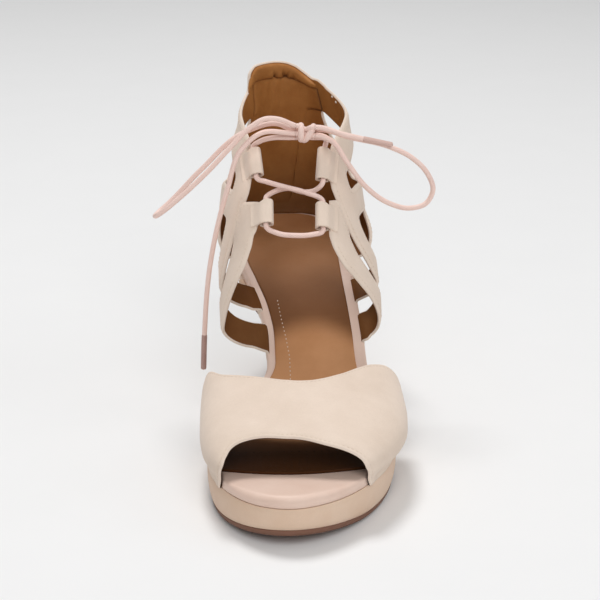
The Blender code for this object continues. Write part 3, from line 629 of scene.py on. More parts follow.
# the cage's inner face, which swells out from the footbed's edge to the ankle form
def cagePoint(side, along, height):
    edgeX, edgeAlong = footEdge(side, along)
    formX, formAlong = ankleEdge(side, along, height)
    rise = min(1.0, max(0.0, (height - footbedTop(edgeAlong)) / cage["tuck"]))
    swell = math.sqrt(rise * (2 - rise))
    x = edgeX + (formX - edgeX) * swell
    return Vector((x, edgeAlong + (formAlong - edgeAlong) * swell, height))


# the lace: routes are the solids' own, in the tables' millimetres
lace = {
    "radius": 1.25,
    "around": 14,
    "step": 1.2,
    "loopTurn": 18.0,
    "inLoop": (-0.12, 0.2, 0.5, 0.8, 1.12),  # shares of a loop's length where the cord is held
    "loops": {  # the ends of each loop's middle line
        ("lower", medial): ((-14.0, 131.8, 104.6), (-13.9, 140.4, 113.4)),
        ("lower", lateral): ((12.9, 132.5, 101.9), (13.4, 141.8, 111.2)),
        ("upper", medial): ((-18.0, 152.5, 122.8), (-19.3, 161.9, 133.0)),
        ("upper", lateral): ((13.8, 151.0, 120.6), (15.4, 161.1, 133.1)),
    },
    "knot": (5.5, 155.4, 142.9),
    "knotToUpperMedial": (
        (1.0, 156.8, 140.2), (-2.0, 156.8, 140.2), (-10.0, 158.5, 139.7), (-15.7, 161.5, 137.4),
    ),
    "upperMedialToLowerLateral": ((-13.5, 150.0, 120.3), (-4.5, 146.6, 118.5), (5.0, 145.0, 116.2)),
    "lowerBar": ((8.0, 129.9, 99.8), (-0.4, 129.4, 99.6), (-8.5, 129.9, 100.6)),
    "lowerMedialToUpperLateral": (
        (-12.8, 145.8, 114.6), (-9.0, 149.6, 115.6), (-3.0, 151.3, 116.4), (4.8, 150.8, 114.6),
        (10.0, 150.0, 115.6),
    ),
    "upperLateralToKnot": (
        (16.2, 163.4, 136.2), (15.2, 160.6, 138.6), (13.0, 157.4, 139.9), (10.0, 157.4, 139.9),
    ),
    "bowMedial": (
        (1.0, 153.9, 146.7), (-1.6, 153.9, 147.8), (-7.0, 153.2, 150.2), (-13.5, 152.2, 150.8),
        (-21.0, 151.2, 146.9), (-30.0, 149.4, 138.2), (-42.0, 147.0, 126.0), (-56.0, 146.0, 113.2),
        (-62.5, 146.6, 107.6), (-66.5, 149.6, 104.0), (-67.3, 153.2, 102.8), (-65.6, 156.8, 103.6),
        (-61.0, 158.8, 107.2), (-45.0, 158.4, 124.0), (-23.0, 157.4, 143.2), (-7.0, 158.2, 146.6),
        (-1.6, 157.5, 144.5), (1.0, 157.5, 144.4),
    ),
    "bowLateral": (
        (10.0, 155.7, 144.2), (13.0, 155.7, 144.2), (27.5, 154.5, 140.5), (46.0, 153.5, 136.0),
        (57.2, 152.7, 130.4), (64.6, 152.0, 122.8), (67.4, 151.4, 114.6), (64.2, 150.8, 108.2),
        (56.0, 150.1, 106.0), (45.2, 149.5, 109.2), (34.0, 149.0, 118.0), (25.5, 149.5, 129.5),
        (18.0, 152.2, 139.6), (13.0, 153.2, 142.0), (10.0, 153.2, 142.2),
    ),
    "endMedial": (
        (1.0, 153.8, 142.9), (-2.0, 153.8, 143.2), (-15.0, 153.0, 143.8), (-25.5, 148.5, 136.5),
        (-32.0, 147.0, 118.0), (-41.0, 146.5, 80.0), (-44.4, 146.0, 44.0), (-45.2, 145.5, 25.5),
    ),
    "endLateral": (
        (10.0, 152.2, 146.4), (13.0, 152.2, 146.2), (22.5, 150.2, 143.6), (32.2, 149.9, 141.2),
        (40.5, 149.9, 139.3), (47.0, 149.9, 137.8),
    ),
    "tip": (18.2, 14.8),  # dipped length of the medial and the lateral end
    "skin": (0.03, 0.16, 0.7),  # the lacquer over the cord: at its lip, further on, and the lip's length
    "drop": (0.5, 1.1, 0.12),  # the drop at the end: past the cord, its rounding, and the least share
    "tipStep": 0.45,
}


def loopFrame(side, ends):
    low, high = Vector(ends[0]), Vector(ends[1])
    way = (high - low).normalized()
    turn = math.radians(lace["loopTurn"])
    across = Vector((-side * math.cos(turn), -math.sin(turn), 0.0))
    across = (across - way * across.dot(way)).normalized()
    out = way.cross(across)
    return low, high, across, -out if out.y > 0 else out


# a smooth route through the points, in even steps
def smoothPath(points, step):
    points = [Vector(point) for point in points]
    spans = [(b - a).length for a, b in zip(points, points[1:])]
    ways = [(b - a).normalized() for a, b in zip(points, points[1:])]
    turns = [ways[0]]
    for k in range(1, len(ways)):
        turns.append((ways[k - 1] * spans[k] + ways[k] * spans[k - 1]) / (spans[k - 1] + spans[k]))
    turns.append(ways[-1])
    fine = [points[0]]
    for k, span in enumerate(spans):
        handles = points[k] + turns[k] * span / 3, points[k + 1] - turns[k + 1] * span / 3
        fine += interpolate_bezier(points[k], *handles, points[k + 1], 25)[1:]
    lengths = [0.0]
    for here, following in zip(fine, fine[1:]):
        lengths.append(lengths[-1] + (following - here).length)
    count = max(2, round(lengths[-1] / step))
    route, i = [], 0
    for want in (lengths[-1] * k / count for k in range(count + 1)):
        while i < len(fine) - 2 and lengths[i + 1] < want:
            i += 1
        route.append(fine[i].lerp(fine[i + 1], (want - lengths[i]) / (lengths[i + 1] - lengths[i])))
    return route


# splits the upright edges of a rod or a slab into even levels
def levelled(bm, levels):
    upright = [edge for edge in bm.edges if abs(edge.verts[0].co.z - edge.verts[1].co.z) > 0.5]
    bmesh.ops.subdivide_edges(bm, edges=upright, cuts=levels - 1, use_grid_fill=True)
    return bm


# a closed round rod of radius 1 and height 1
def rod(segments, levels):
    bm = bmesh.new()
    bmesh.ops.create_cone(bm, cap_ends=True, segments=segments, radius1=1, radius2=1, depth=1)
    return levelled(bm, levels)


# merges doubles and turns the faces outwards
def closed(bm, within=0.01):
    bmesh.ops.remove_doubles(bm, verts=bm.verts, dist=within * mm)
    bmesh.ops.recalc_face_normals(bm, faces=bm.faces)
    return bm


# a round tube along a route, with UV in metres round it and along it
def tube(route, radius):
    last = len(route) - 1
    bm = rod(lace["around"], last)
    uvMap = bm.loops.layers.uv.new("braid")
    for face in bm.faces:
        turns = [math.atan2(loop.vert.co.y, loop.vert.co.x) % math.tau for loop in face.loops]
        for loop, turn in zip(face.loops, turns):
            turn += math.tau if max(turns) - turn > math.pi else 0.0
            loop[uvMap].uv = (turn * radius * mm, loop.vert.co.z)
    ways = [(route[min(k + 1, last)] - route[max(k - 1, 0)]).normalized() for k in range(last + 1)]
    side = ways[0].orthogonal().normalized()
    frames = []
    travelled = 0.0
    for k, way in enumerate(ways):
        side = (side - way * side.dot(way)).normalized()
        travelled += (route[k] - route[k - 1]).length if k else 0.0
        frames.append((route[k], side.copy(), way.cross(side), travelled))
    for face in bm.faces:
        for loop in face.loops:
            level = round((loop[uvMap].uv.y + 0.5) * last)
            loop[uvMap].uv.y = frames[level][3] * mm
    for vert in bm.verts:
        middle, across, up, _ = frames[round((vert.co.z + 0.5) * last)]
        vert.co = place(*(middle + across * vert.co.x * radius + up * vert.co.y * radius))
    return bm


def addPiece(name, bm, materials, slotName, *nodes, sharp=None):
    mesh = bpy.data.meshes.new(name)
    bm.to_mesh(mesh)
    bm.free()
    mesh.shade_smooth()
    if sharp:
        mesh.set_sharp_from_angle(angle=math.radians(sharp))
    for finish in materials:
        mesh.materials.append(finish)
    piece = bpy.data.objects.new(name, mesh)
    bpy.context.scene.collection.objects.link(piece)
    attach(piece, "root")
    if nodes:
        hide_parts(*nodes)
    return piece


def pathLength(route):
    return sum((b - a).length for a, b in zip(route, route[1:])) * mm


loopFrames = {(name, side): loopFrame(side, ends) for (name, side), ends in lace["loops"].items()}


def addLace():
    def throughLoop(name, side, upwards):
        low, high = loopFrames[name, side][:2]
        middle = [low.lerp(high, share) for share in lace["inLoop"]]
        return middle if upwards else middle[::-1]

    threaded = smoothPath(
        [
            *lace["knotToUpperMedial"],
            *throughLoop("upper", medial, False),
            *lace["upperMedialToLowerLateral"],
            *throughLoop("lower", lateral, False),
            *lace["lowerBar"],
            *throughLoop("lower", medial, True),
            *lace["lowerMedialToUpperLateral"],
            *throughLoop("upper", lateral, True),
            *lace["upperLateralToKnot"],
        ],
        lace["step"],
    )
    addPiece(
        "laceThreadedCord", tube(threaded, lace["radius"]), [waxedCord], "pink_cord", "lace_threaded"
    )
    free = (
        ("bowMedial", "laceBowMedialCord", "lace_bow_medial", "object", "hanging"),
        ("bowLateral", "laceBowLateralCord", "lace_bow_lateral", "object", "loose"),
        ("endMedial", "laceEndMedialCord", "lace_end_medial", "bare", "hanging"),
        ("endLateral", "laceEndLateralCord", "lace_end_lateral", "bare", "loose"),
    )
    for key, name, node, farEnd, lay in free:
        route = smoothPath(lace[key], lace["step"])
        bm = tube(route, lace["radius"])
        cord = addPiece(name, bm, [waxedCord], "pink_cord", node)
        if "end" in key:
            addTip(key, route)
        print(name, "is", round(pathLength(route), 4), "m")


# the dipped end: a skin over the cord that starts with a soft lip and ends in a rounded drop
def addTip(key, route):
    side = "Medial" if key == "endMedial" else "Lateral"
    dipped = lace["tip"][0 if side == "Medial" else 1]
    ahead = (route[-1] - route[-2]).normalized()
    back = [route[-1]]
    for point in reversed(route[:-1]):
        if (point - route[-1]).length > dipped:
            break
        back.append(point)
    past, rounding, least = lace["drop"]
    thin, thick, lip = lace["skin"]
    skin = smoothPath(back[::-1] + [route[-1] + ahead * past], lace["tipStep"])
    last = skin[-1]

    def size(middle):
        left = (middle - last).length
        start = (middle - skin[0]).length
        rounded = math.sqrt(max(0.0, 1 - (1 - min(1.0, left / rounding)) ** 2))
        skinned = lace["radius"] + thin + (thick - thin) * smoothStep(0.0, lip, start)
        return skinned * max(least, rounded)

    bm = tubeOfSizes(skin, size)
    return addPiece(
        f"laceTip{side}Dip",
        bm,
        [dippedTip if side == "Medial" else thinDippedTip],
        "dipped_tip",
        f"lace_tip_{side.lower()}",
    )


def tubeOfSizes(route, size):
    bm = tube(route, 1.0)
    for vert in bm.verts:
        nearest = min(route, key=lambda point: (place(*point) - vert.co).length_squared)
        middle = place(*nearest)
        vert.co = middle + (vert.co - middle) * size(nearest)
    return bm


addLace()
print("cords laid")


# the knot: the strands run through it, and one end is wound round them twice, first upright and
# then slanting up to the lateral side, where it is tucked in
knot = {
    "upright": 3.5,
    "deep": 3.1,
    "turns": 1.62,
    "start": -0.3,
    "steps": 44,
    "fuller": 0.3,
    "pulled": 0.45,  # share by which the strands are drawn to its middle
    "straight": 1.2,
    "step": 0.8,
    "from": -2.0,
    # sideways run of the winding: how far, between which turns
    "shift": (1.3, 0.35, 0.75),
    "slant": (4.8, 0.72, 1.25),
}


def addKnot():
    middle = Vector(lace["knot"])
    strands = (
        (lace["bowMedial"][0], lace["endLateral"][0]),
        (lace["bowMedial"][-1], lace["bowLateral"][0]),
        (lace["endMedial"][0], lace["bowLateral"][-1]),
        (lace["knotToUpperMedial"][0], lace["upperLateralToKnot"][-1]),
    )
    bm = bmesh.new()
    bm.loops.layers.uv.new("braid")
    routes = []
    for start, end in strands:
        a, b = Vector(start), Vector(end)
        pull = (a + b) / 2
        pull += Vector((0.0, (middle.y - pull.y) * knot["pulled"], (middle.z - pull.z) * knot["pulled"]))
        inwards = Vector((knot["straight"], 0, 0))
        routes.append(smoothPath((a, a + inwards, pull, b - inwards, b), knot["step"]))
    wound = []
    for k in range(knot["steps"]):
        share = k / (knot["steps"] - 1)
        turns = knot["start"] + knot["turns"] * share
        tucked = 1 - 0.5 * smoothStep(0.92, 1.0, share) - 0.5 * smoothStep(0.1, 0.0, share)
        x = knot["from"]
        for far, first, last in (knot["shift"], knot["slant"]):
            x += far * smoothStep(first, last, turns)
        turn = math.tau * turns
        upright = knot["upright"] * tucked * math.sin(turn)
        wound.append(middle + Vector((x, -knot["deep"] * tucked * math.cos(turn), upright)))
    routes.append(smoothPath(wound, knot["step"]))
    for route in routes:
        part = bpy.data.meshes.new("strand")
        made = tube(route, lace["radius"] + (knot["fuller"] if route is routes[-1] else 0.0))
        made.to_mesh(part)
        made.free()
        bm.from_mesh(part)
        bpy.data.meshes.remove(part)
    addPiece("laceKnotWrap", bm, [waxedCord], "pink_cord", "lace_knot")


addKnot()
print("knot tied")


# a flat slab: u and v from -1 to 1, w from 0 below to 1 above in even levels
def slab(columns, rows, levels):
    bm = bmesh.new()
    bmesh.ops.create_grid(bm, x_segments=columns, y_segments=rows, size=1.0)
    return thickened(bm, levels)


def thickened(bm, levels):
    lifted = bmesh.ops.extrude_face_region(bm, geom=bm.faces[:], use_keep_orig=True)["geom"]
    for vert in lifted:
        if isinstance(vert, bmesh.types.BMVert):
            vert.co.z = 1.0
    return levelled(bm, levels)


def lipInset(along, inset, lip):
    _, end, fade = sole["lip"]
    return inset - lip * smoothStep(0.0, 1.0, (end - along) / fade)


# one layer of the sole: levels run from the bottom up, each an inset and a height along the shoe
def soleLayer(columns, rows, levels, front, back, lip=0.0, bow=0.0, margin=lambda along: 0.0, wider=0.0):
    bm = slab(columns, rows, len(levels) - 1)
    for vert in bm.verts:
        inset, height, *drawn = levels[round(vert.co.z * (len(levels) - 1))]
        share = (vert.co.y + 1) / 2
        share -= 0.92 * math.sin(math.tau * share) / math.tau  # closer rows at toe and heel
        start = max(front, inset - lip)
        stop = min(back, sole["end"] - inset - margin(back))
        along = start + (stop - start) * share
        along += bow * vert.co.x**2 * (1 - share) ** 10
        edgeInset = lipInset(along, inset, lip) + margin(along)
        edgeInset += drawn[0](along) if drawn else 0.0
        edges = [soleX(along, medial, edgeInset - wider), soleX(along, lateral, edgeInset)]
        x = edges[0] + (edges[1] - edges[0]) * (vert.co.x + 1) / 2
        vert.co = place(x, along, height(along))
    return closed(bm, 0.02)


# footbed: the board with its cover drawn over a lip that is round at the toe and tighter at the sides
footbed = {"radius": 3.4, "sideRadius": 1.3, "sideFrom": (7.0, 20.0), "steps": 7, "foot": (0.8, 0.6)}


def addFootbed():
    def radiusAt(along):
        slim = smoothStep(*footbed["sideFrom"], along)
        return footbed["radius"] + (footbed["sideRadius"] - footbed["radius"]) * slim

    footIn, footUp = footbed["foot"]
    levels = [(sole["footbedInset"] + footIn, footbedBottom)]
    levels.append((sole["footbedInset"], lambda along: footbedBottom(along) + footUp))
    for k in range(footbed["steps"] + 1):
        turn = math.pi / 2 * k / footbed["steps"]
        drawIn, drop = 1 - math.cos(turn), 1 - math.sin(turn)
        levels.append(
            (
                sole["footbedInset"] + footbed["radius"] * drawIn,
                lambda along, drop=drop: footbedTop(along) - radiusAt(along) * drop,
                lambda along, drawIn=drawIn: (radiusAt(along) - footbed["radius"]) * drawIn,
            )
        )
    bm = soleLayer(24, 150, levels, 0.0, sole["end"], lip=sole["lip"][0])
    addPiece("footbedCover", bm, [coatedSheepskin], "nude_leather", "footbed")


addFootbed()

# sock: a glazed leather sheet glued on the footbed, with a bowed front edge
sock = {
    "inset": 7.9,
    "front": 28.5,
    "bow": 6.0,
    "thickness": 1.3,
    "edge": ((0.0, 0.02), (0.0, 0.55), (0.25, 0.95), (0.8, 1.0)),  # drawn in, share of the thickness
    "heelMargin": (-0.8, 190, 212),  # how far, and between which stations it sets in
    "toeMargin": (-4.6, 80, 50),
    "wider": 1.6,  # at the medial edge
    "paintedShade": (74.0, 48.0),  # painted shade under the vamp: it darkens towards the toe between these
    # the painted shadow over the arch, where the tabs and straps shade it: where it starts, how its edge
    # bows from x, and how softly
    "arch": (133.0, 0.018, 8.0),
    "archSoft": (-5.0, 8.0),
    "archEnd": (208.0, 180.0),
    "archDark": (0.85, 0.4, 146.0, 176.0),  # how dark the painted shadow is at first, less by this between the two stations
}


def addSock():
    levels = []
    for drawIn, rise in sock["edge"]:
        up = rise * sock["thickness"]
        levels.append((sock["inset"] + drawIn, lambda a, up=up: footbedTop(a) + up))

    def margin(along):
        rows = sock["heelMargin"], sock["toeMargin"]
        return sum(far * smoothStep(first, last, along) for far, first, last in rows)

    bm = soleLayer(
        30, 150, levels, sock["front"], sole["end"], bow=sock["bow"], margin=margin, wider=sock["wider"]
    )
    # painted shade in the edge attribute: darker towards the toe under the vamp, and a painted shadow
    # over the arch
    shadeLayer = bm.verts.layers.float.new("edge")
    archStart, bow, bowX = sock["arch"]
    softLow, softHigh = sock["archSoft"]
    dark, less, first, last = sock["archDark"]
    for vert in bm.verts:
        x, along = vert.co.x / mm + middleX, vert.co.y / mm + middleAlong
        start = archStart - bow * (x - bowX) ** 2
        arch = smoothStep(start + softLow, start + softHigh, along) * smoothStep(*sock["archEnd"], along)
        arch *= dark - less * smoothStep(first, last, along)
        vert[shadeLayer] = smoothStep(*sock["paintedShade"], along) + arch
    # faces towards the toe take the copy of the sock leather with the darker painted shade
    for face in bm.faces:
        along = face.calc_center_median().y / mm + middleAlong
        face.material_index = 1 if along < sock["paintedShade"][0] else 0
    addPiece("sockSheet", bm, [sockLeather, shadedSockLeather], "brown_leather", "sock")


addSock()

# platform: the rand wrapped in leather, a little full at its middle and drawn in under the arch
platform = {
    "drawnIn": 3.0,
    "archFrom": (86.0, 104.0),
    "archTo": (162.0, 148.0),
    # share of the height, inset
    "profile": ((0.0, 1.6), (0.04, 1.0), (0.2, 0.5), (0.45, 0.1), (0.65, 0.0), (0.85, 0.05), (1.0, 0.7)),
}


def archInset(along):
    share = smoothStep(*platform["archFrom"], along) * smoothStep(*platform["archTo"], along)
    return platform["drawnIn"] * share


def addPlatform():
    def outsoleTop(along):
        return tread(along) + sole["outsole"]

    levels = []
    for share, inset in platform["profile"]:
        levels.append(
            (
                inset,
                lambda a, share=share: outsoleTop(a) + 0.05
                + (footbedBottom(a) - 0.1 - outsoleTop(a)) * share,
                archInset,
            )
        )
    bm = soleLayer(20, 140, levels, 0.0, sole["breast"] - 0.6)
    addPiece("platformWrap", bm, [wrapNubuck], "nude_leather", "platform", sharp=60)


addPlatform()


def addOutsole():
    top = sole["outsole"]
    levels = [
        (sole["outsoleInset"] + 1.3, tread, archInset),
        (sole["outsoleInset"] + 0.7, lambda a: tread(a) + 0.35, archInset),
        (sole["outsoleInset"], lambda a: tread(a) + 1.2, archInset),
        (sole["outsoleInset"] - 0.2, lambda a: tread(a) + top - 0.3, archInset),
        (sole["outsoleInset"], lambda a: tread(a) + top, archInset),
    ]
    bm = soleLayer(20, 140, levels, 0.0, sole["breast"] - 0.6)
    addPiece("outsoleTread", bm, [soleRubber], "brown_rubber", "outsole", sharp=60)


addOutsole()
print("sole layered")

# heel: a slim covered block under the seat, waisted down to its rubber foot
heel = {
    "front": 192.0,
    "back": 222.0,
    "half": 11.5,
    "power": 2.8,
    "taper": (1.9, 2.5),  # of the breast and of the sides
    "foot": 6.0,
    "levels": 26,
    "around": 72,
}


def heelPoint(turn, level):
    side = lateral if turn < math.pi else medial
    turn = turn if side == lateral else math.tau - turn
    seatAlong = sole["breast"] + (sole["end"] - sole["breast"]) * (1 - math.cos(turn)) / 2
    seatX = soleX(seatAlong, side, 0.0)
    middle, reach = (heel["front"] + heel["back"]) / 2, (heel["back"] - heel["front"]) / 2
    across, lengthways = math.sin(turn), math.cos(turn)
    footAlong = middle - reach * math.copysign(abs(lengthways) ** (2 / heel["power"]), lengthways)
    footX = side * heel["half"] * max(0.0, across) ** (2 / heel["power"])
    waisted, narrowed = (1 - (1 - level) ** power for power in heel["taper"])
    seat = footbedBottom(seatAlong) - 0.1
    x = seatX + (footX - seatX) * narrowed
    along = seatAlong + (footAlong - seatAlong) * waisted
    return x, along, seat + (heel["foot"] + 0.1 - seat) * level


def addHeel():
    around = heel["around"]
    bm = rod(around, heel["levels"])
    for vert in bm.verts:
        k = round((math.atan2(vert.co.y, vert.co.x) % math.tau) / math.tau * around) % around
        turn = math.tau * k / (around - 1) * 0.99999
        vert.co = place(*heelPoint(turn, 0.5 - vert.co.z))
    closed(bm)
    addPiece("heelCover", bm, [nubuck], "nude_leather", "heel", sharp=50)

    bm = bmesh.new()
    bmesh.ops.create_cone(bm, cap_ends=True, segments=around, radius1=1, radius2=1, depth=1)
    for vert in bm.verts:
        k = round((math.atan2(vert.co.y, vert.co.x) % math.tau) / math.tau * around) % around
        x, along, _ = heelPoint(math.tau * k / around, 1.0)
        vert.co = place(x, along, heel["foot"] * (vert.co.z + 0.5))
    bmesh.ops.remove_doubles(bm, verts=bm.verts, dist=0.01 * mm)
    rims = [e for e in bm.edges if any(len(f.verts) > 4 for f in e.link_faces)]
    bmesh.ops.bevel(
        bm, geom=rims, offset=0.5 * mm, affect="EDGES", segments=2, profile=0.5, material=-1
    )
    bmesh.ops.recalc_face_normals(bm, faces=bm.faces)
    addPiece("heelFoot", bm, [soleRubber], "brown_rubber", "top_piece", sharp=50)


addHeel()
print("heel set")

# vamp: the band over the toes
vamp = {
    "wall": 1.8,
    "crownX": -6.0,
    "power": {medial: 3.0, lateral: 2.3},
    "bulge": (4.0, 0.8, 0.64),  # height, share of the arch, share of the tuck
    "lip": 1.8,  # it goes down outside the footbed's lip
    # along, medial, lateral, crown
    "form": (
        (10, -28.5, 14.0, 30.5),
        (20, -35.0, 24.5, 34.4),
        (32, -40.4, 33.4, 38.2),
        (48, -43.8, 41.8, 41.6),
        (65, -44.8, 46.6, 44.9),
        (82, -44.6, 47.9, 48.8),
        (104, -43.0, 46.2, 53.4),
    ),
    "toeOpening": (
        (-1.0, 26.2), (-0.83, 23.3), (-0.7, 22.4), (-0.52, 25.1), (-0.39, 28.7), (-0.27, 31.0),
        (-0.11, 32.3), (0.02, 30.9), (0.18, 27.5), (0.38, 25.0), (0.55, 23.2), (0.73, 21.7),
        (0.9, 24.0), (1.0, 26.0),
    ),
    "throat": (
        (-1.0, 90.0), (-0.8, 96.0), (-0.62, 98.5), (-0.36, 86.2), (-0.22, 81.4), (-0.11, 78.4),
        (-0.03, 76.0), (0.03, 74.4), (0.07, 74.8), (0.13, 76.9), (0.21, 81.7), (0.31, 89.5),
        (0.4, 95.5), (0.55, 100.5), (0.75, 101.5), (1.0, 96.0),
    ),
    "edgeRows": (0.0, 0.35, 0.8, 1.3, 1.7, 2.1, 2.7, 3.6, 5.0),
    "middleRows": 26,
    "columns": 130,
    "seam": 1.7,
    "groove": 0.14,
    "skive": 0.7,
}
vampBulge = {medial: through(vamp["form"], 1), lateral: through(vamp["form"], 2)}
vampCrown = through(vamp["form"], 3)
toeOpening, throat = through(vamp["toeOpening"]), through(vamp["throat"])


def vampPoint(share, along):
    side = medial if share < 0 else lateral
    bulgeRise, bulgeShare, tuckShare = vamp["bulge"]
    bulge = vampBulge[side](along)
    bulgeHeight = footbedTop(along) + bulgeRise
    reach = abs(share)
    if reach <= bulgeShare:
        turn = reach / bulgeShare * math.pi / 2
        power = 2 / vamp["power"][side]
        x = vamp["crownX"] + (bulge - vamp["crownX"]) * math.sin(turn) ** power
        rise = (vampCrown(along) - bulgeHeight) * max(0.0, math.cos(turn)) ** power
        return Vector((x, along, bulgeHeight + rise))
    fall = (reach - bulgeShare) / (1 - bulgeShare)
    tuck = smoothStep(0.0, tuckShare, fall)
    inset = lipInset(along, sole["footbedInset"] - sole["upperGap"], vamp["lip"])
    x = bulge + (soleX(along, side, inset) - bulge) * tuck
    floor = footbedBottom(along) + sole["lasting"]
    return Vector((x, along, bulgeHeight + (floor - bulgeHeight) * fall))


def vampFrame(share, along):
    step = 0.012
    a, b = vampPoint(max(-1.0, share - step), along), vampPoint(min(1.0, share + step), along)
    c, d = vampPoint(share, along - 0.6), vampPoint(share, along + 0.6)
    return vampPoint(share, along), (b - a).cross(d - c).normalized(), (d - c).normalized()


def vampRow(k):
    rows = vamp["edgeRows"]
    last = 2 * (len(rows) - 1) + vamp["middleRows"]
    if k < len(rows):
        return 0.0, rows[k]
    if k > last - len(rows):
        return 1.0, -rows[last - k]
    return (k - len(rows) + 1) / vamp["middleRows"], None


def vampAlong(share, k):
    front, back = toeOpening(share), throat(share)
    part, offset = vampRow(k)
    if offset is not None:
        return (back if part else front) + offset
    first = vamp["edgeRows"][-1]
    return front + first + (back - front - 2 * first) * part


def vampWall(fromEdge):
    return vamp["wall"] - vamp["skive"] * bump(fromEdge, 0.0, 2.0)


def addVamp():
    rows = 2 * (len(vamp["edgeRows"]) - 1) + vamp["middleRows"]
    bm = slab(vamp["columns"], rows, 5)
    edge = bm.verts.layers.float.new("edge")
    # the lining and the lower part of the turned edge take the darker lining leather: painted shade
    # inside the toe box and under the edge
    lining = [face for face in bm.faces if face.calc_center_median().z < 0.55]
    for vert in bm.verts:
        share = math.copysign(abs(vert.co.x) ** 1.35, vert.co.x)
        k = round((vert.co.y + 1) / 2 * rows)
        w = vert.co.z
        along = vampAlong(share, k)
        point, normal, lengthways = vampFrame(share, along)
        fromEdge = min(along - toeOpening(share), throat(share) - along)
        rolled = 0.0
        if k in (0, rows):
            rolled = (0.6 * math.sin(math.pi * w) - 0.3) * (-1 if k == 0 else 1)
        lift = vampWall(fromEdge) * w
        if w > 0.99:
            lift += 0.25 * bump(fromEdge, 0.7, 0.6) - vamp["groove"] * bump(fromEdge, vamp["seam"], 0.4)
            lift += 0.12 * noise(point * 0.09)
        vert[edge] = 0.3 * bump(fromEdge, 0.0, 0.7) if w > 0.5 else 0.0
        vert.co = place(*(point + normal * lift + lengthways * rolled))
    for face in lining:
        face.material_index = 1
    bmesh.ops.recalc_face_normals(bm, faces=bm.faces)
    addPiece("vampBand", bm, [nubuck, shadedToeLining], "nude_leather", "vamp")


addVamp()
print("vamp lasted")


# stitches along lines of (point, normal) in millimetres: each is a small pulled-down grain of thread
def addStitches(name, lines, look, finish, slotName):
    bm = bmesh.new()
    count = 0
    for line in lines:
        lengths = [0.0]
        for (a, _), (b, _) in zip(line, line[1:]):
            lengths.append(lengths[-1] + (b - a).length)
        i, want = 0, look["pitch"] * 0.5
        while want < lengths[-1]:
            while lengths[i + 1] < want:
                i += 1
            (a, normalA), (b, normalB) = line[i], line[i + 1]
            t = (want - lengths[i]) / (lengths[i + 1] - lengths[i])
            normal = normalA.lerp(normalB, t).normalized()
            ahead = (b - a).normalized()
            across = normal.cross(ahead).normalized()
            turned = Matrix((ahead, across, normal)).transposed().to_4x4()
            length, width, height = look["length"] / 2, look["width"] / 2, look["height"]
            sizes = Matrix.Diagonal((length * mm, width * mm, height * mm, 1))
            middle = place(*(a.lerp(b, t) + normal * look["lift"]))
            bmesh.ops.create_uvsphere(
                bm,
                u_segments=6,
                v_segments=4,
                radius=1.0,
                matrix=Matrix.Translation(middle) @ turned @ sizes,
            )
            count += 1
            want += look["pitch"]
    print(name, count, "stitches")
    return addPiece(name, bm, [finish], slotName)


vampStitch = {"pitch": 2.1, "length": 1.6, "width": 0.42, "height": 0.18, "lift": -0.02}


def addVampStitches():
    lines = []
    for edgeOf, away in ((toeOpening, 1), (throat, -1)):
        line = []
        for k in range(301):
            share = -0.93 + 1.86 * k / 300
            along = edgeOf(share) + away * vamp["seam"]
            point, normal, _ = vampFrame(share, along)
            line.append((point + normal * (vampWall(vamp["seam"]) - 0.1), normal))
        lines.append(line)
    addStitches("vampStitching", lines, vampStitch, nudeThread, "nude_leather")


addVampStitches()

# the sock's own marks: a line of small pale stitches along the arch, and pinholes under the toes
sockMarks = {
    "line": (
        (147.5, -8.5), (138.0, -7.0), (128.5, -5.0), (119.5, -3.5), (111.0, -3.5), (100.0, -3.9),
        (88.0, -5.2), (74.0, -7.4),
    ),
    "stitch": {"pitch": 2.3, "length": 1.0, "width": 0.6, "height": 0.22, "lift": 0.0},
    "pinhole": {"pitch": 3.4, "length": 0.9, "width": 0.9, "height": 0.05, "lift": 0.02},
    "pinholeRows": (33.5, 36.7, 39.9, 43.1, 46.3, 49.5, 52.7),
}


def onSock(x, along):
    rise = (footbedTop(along + 1.0) - footbedTop(along - 1.0)) / 2
    return Vector((x, along, footbedTop(along) + sock["thickness"])), Vector((0, -rise, 1)).normalized()


def addSockMarks():
    line = [onSock(x, along) for along, x in sockMarks["line"]]
    addStitches("sockStitching", [line], sockMarks["stitch"], nudeThread, "brown_leather")
    rows = []
    for k, along in enumerate(sockMarks["pinholeRows"]):
        reach = 15.0 + 0.5 * (along - 28.5) + 1.7 * (k % 2)
        rows.append([onSock(-7.0 + reach * side, along) for side in (medial, lateral)])
    # each pinhole is a dark disc of the darker lining leather: painted shade for the inside of the hole
    addStitches("sockPinholes", rows, sockMarks["pinhole"], shadedToeLining, "brown_leather")


addSockMarks()


# cage: counter, collar and straps cut from one pattern and lasted on the form
def setBack(side, height):
    back, high, low = cage["setBack"]
    return back * smoothStep(high, low, height) if side == lateral else 0.0


def strapSamples(side, strap):
    rows = cage[strap]
    samples = []
    for ahead, behind in zip(rows, rows[1:]):
        for k in range(cage["samples"]):
            along, height, half = (a + (b - a) * k / cage["samples"] for a, b in zip(ahead, behind))
            samples.append((cagePoint(side, along + setBack(side, height), height), half))
    return samples + [(cagePoint(side, *rows[-1][:2]), rows[-1][2])]


def strapTree(side, strap):
    samples = strapSamples(side, strap)
    tree = KDTree(len(samples))
    for k, (point, _) in enumerate(samples):
        tree.insert(point, k)
    tree.balance()
    squared = strap in ("frontStrap", "rearStrap")
    end = samples[-1][0], (samples[-1][0] - samples[-19][0]).normalized()
    return tree, [half for _, half in samples], end if squared else None


strapTrees = {
    (side, strap): strapTree(side, strap)
    for side in (medial, lateral)
    for strap in ("frontStrap", "rearStrap", "midStrap", "collarStrap")
}


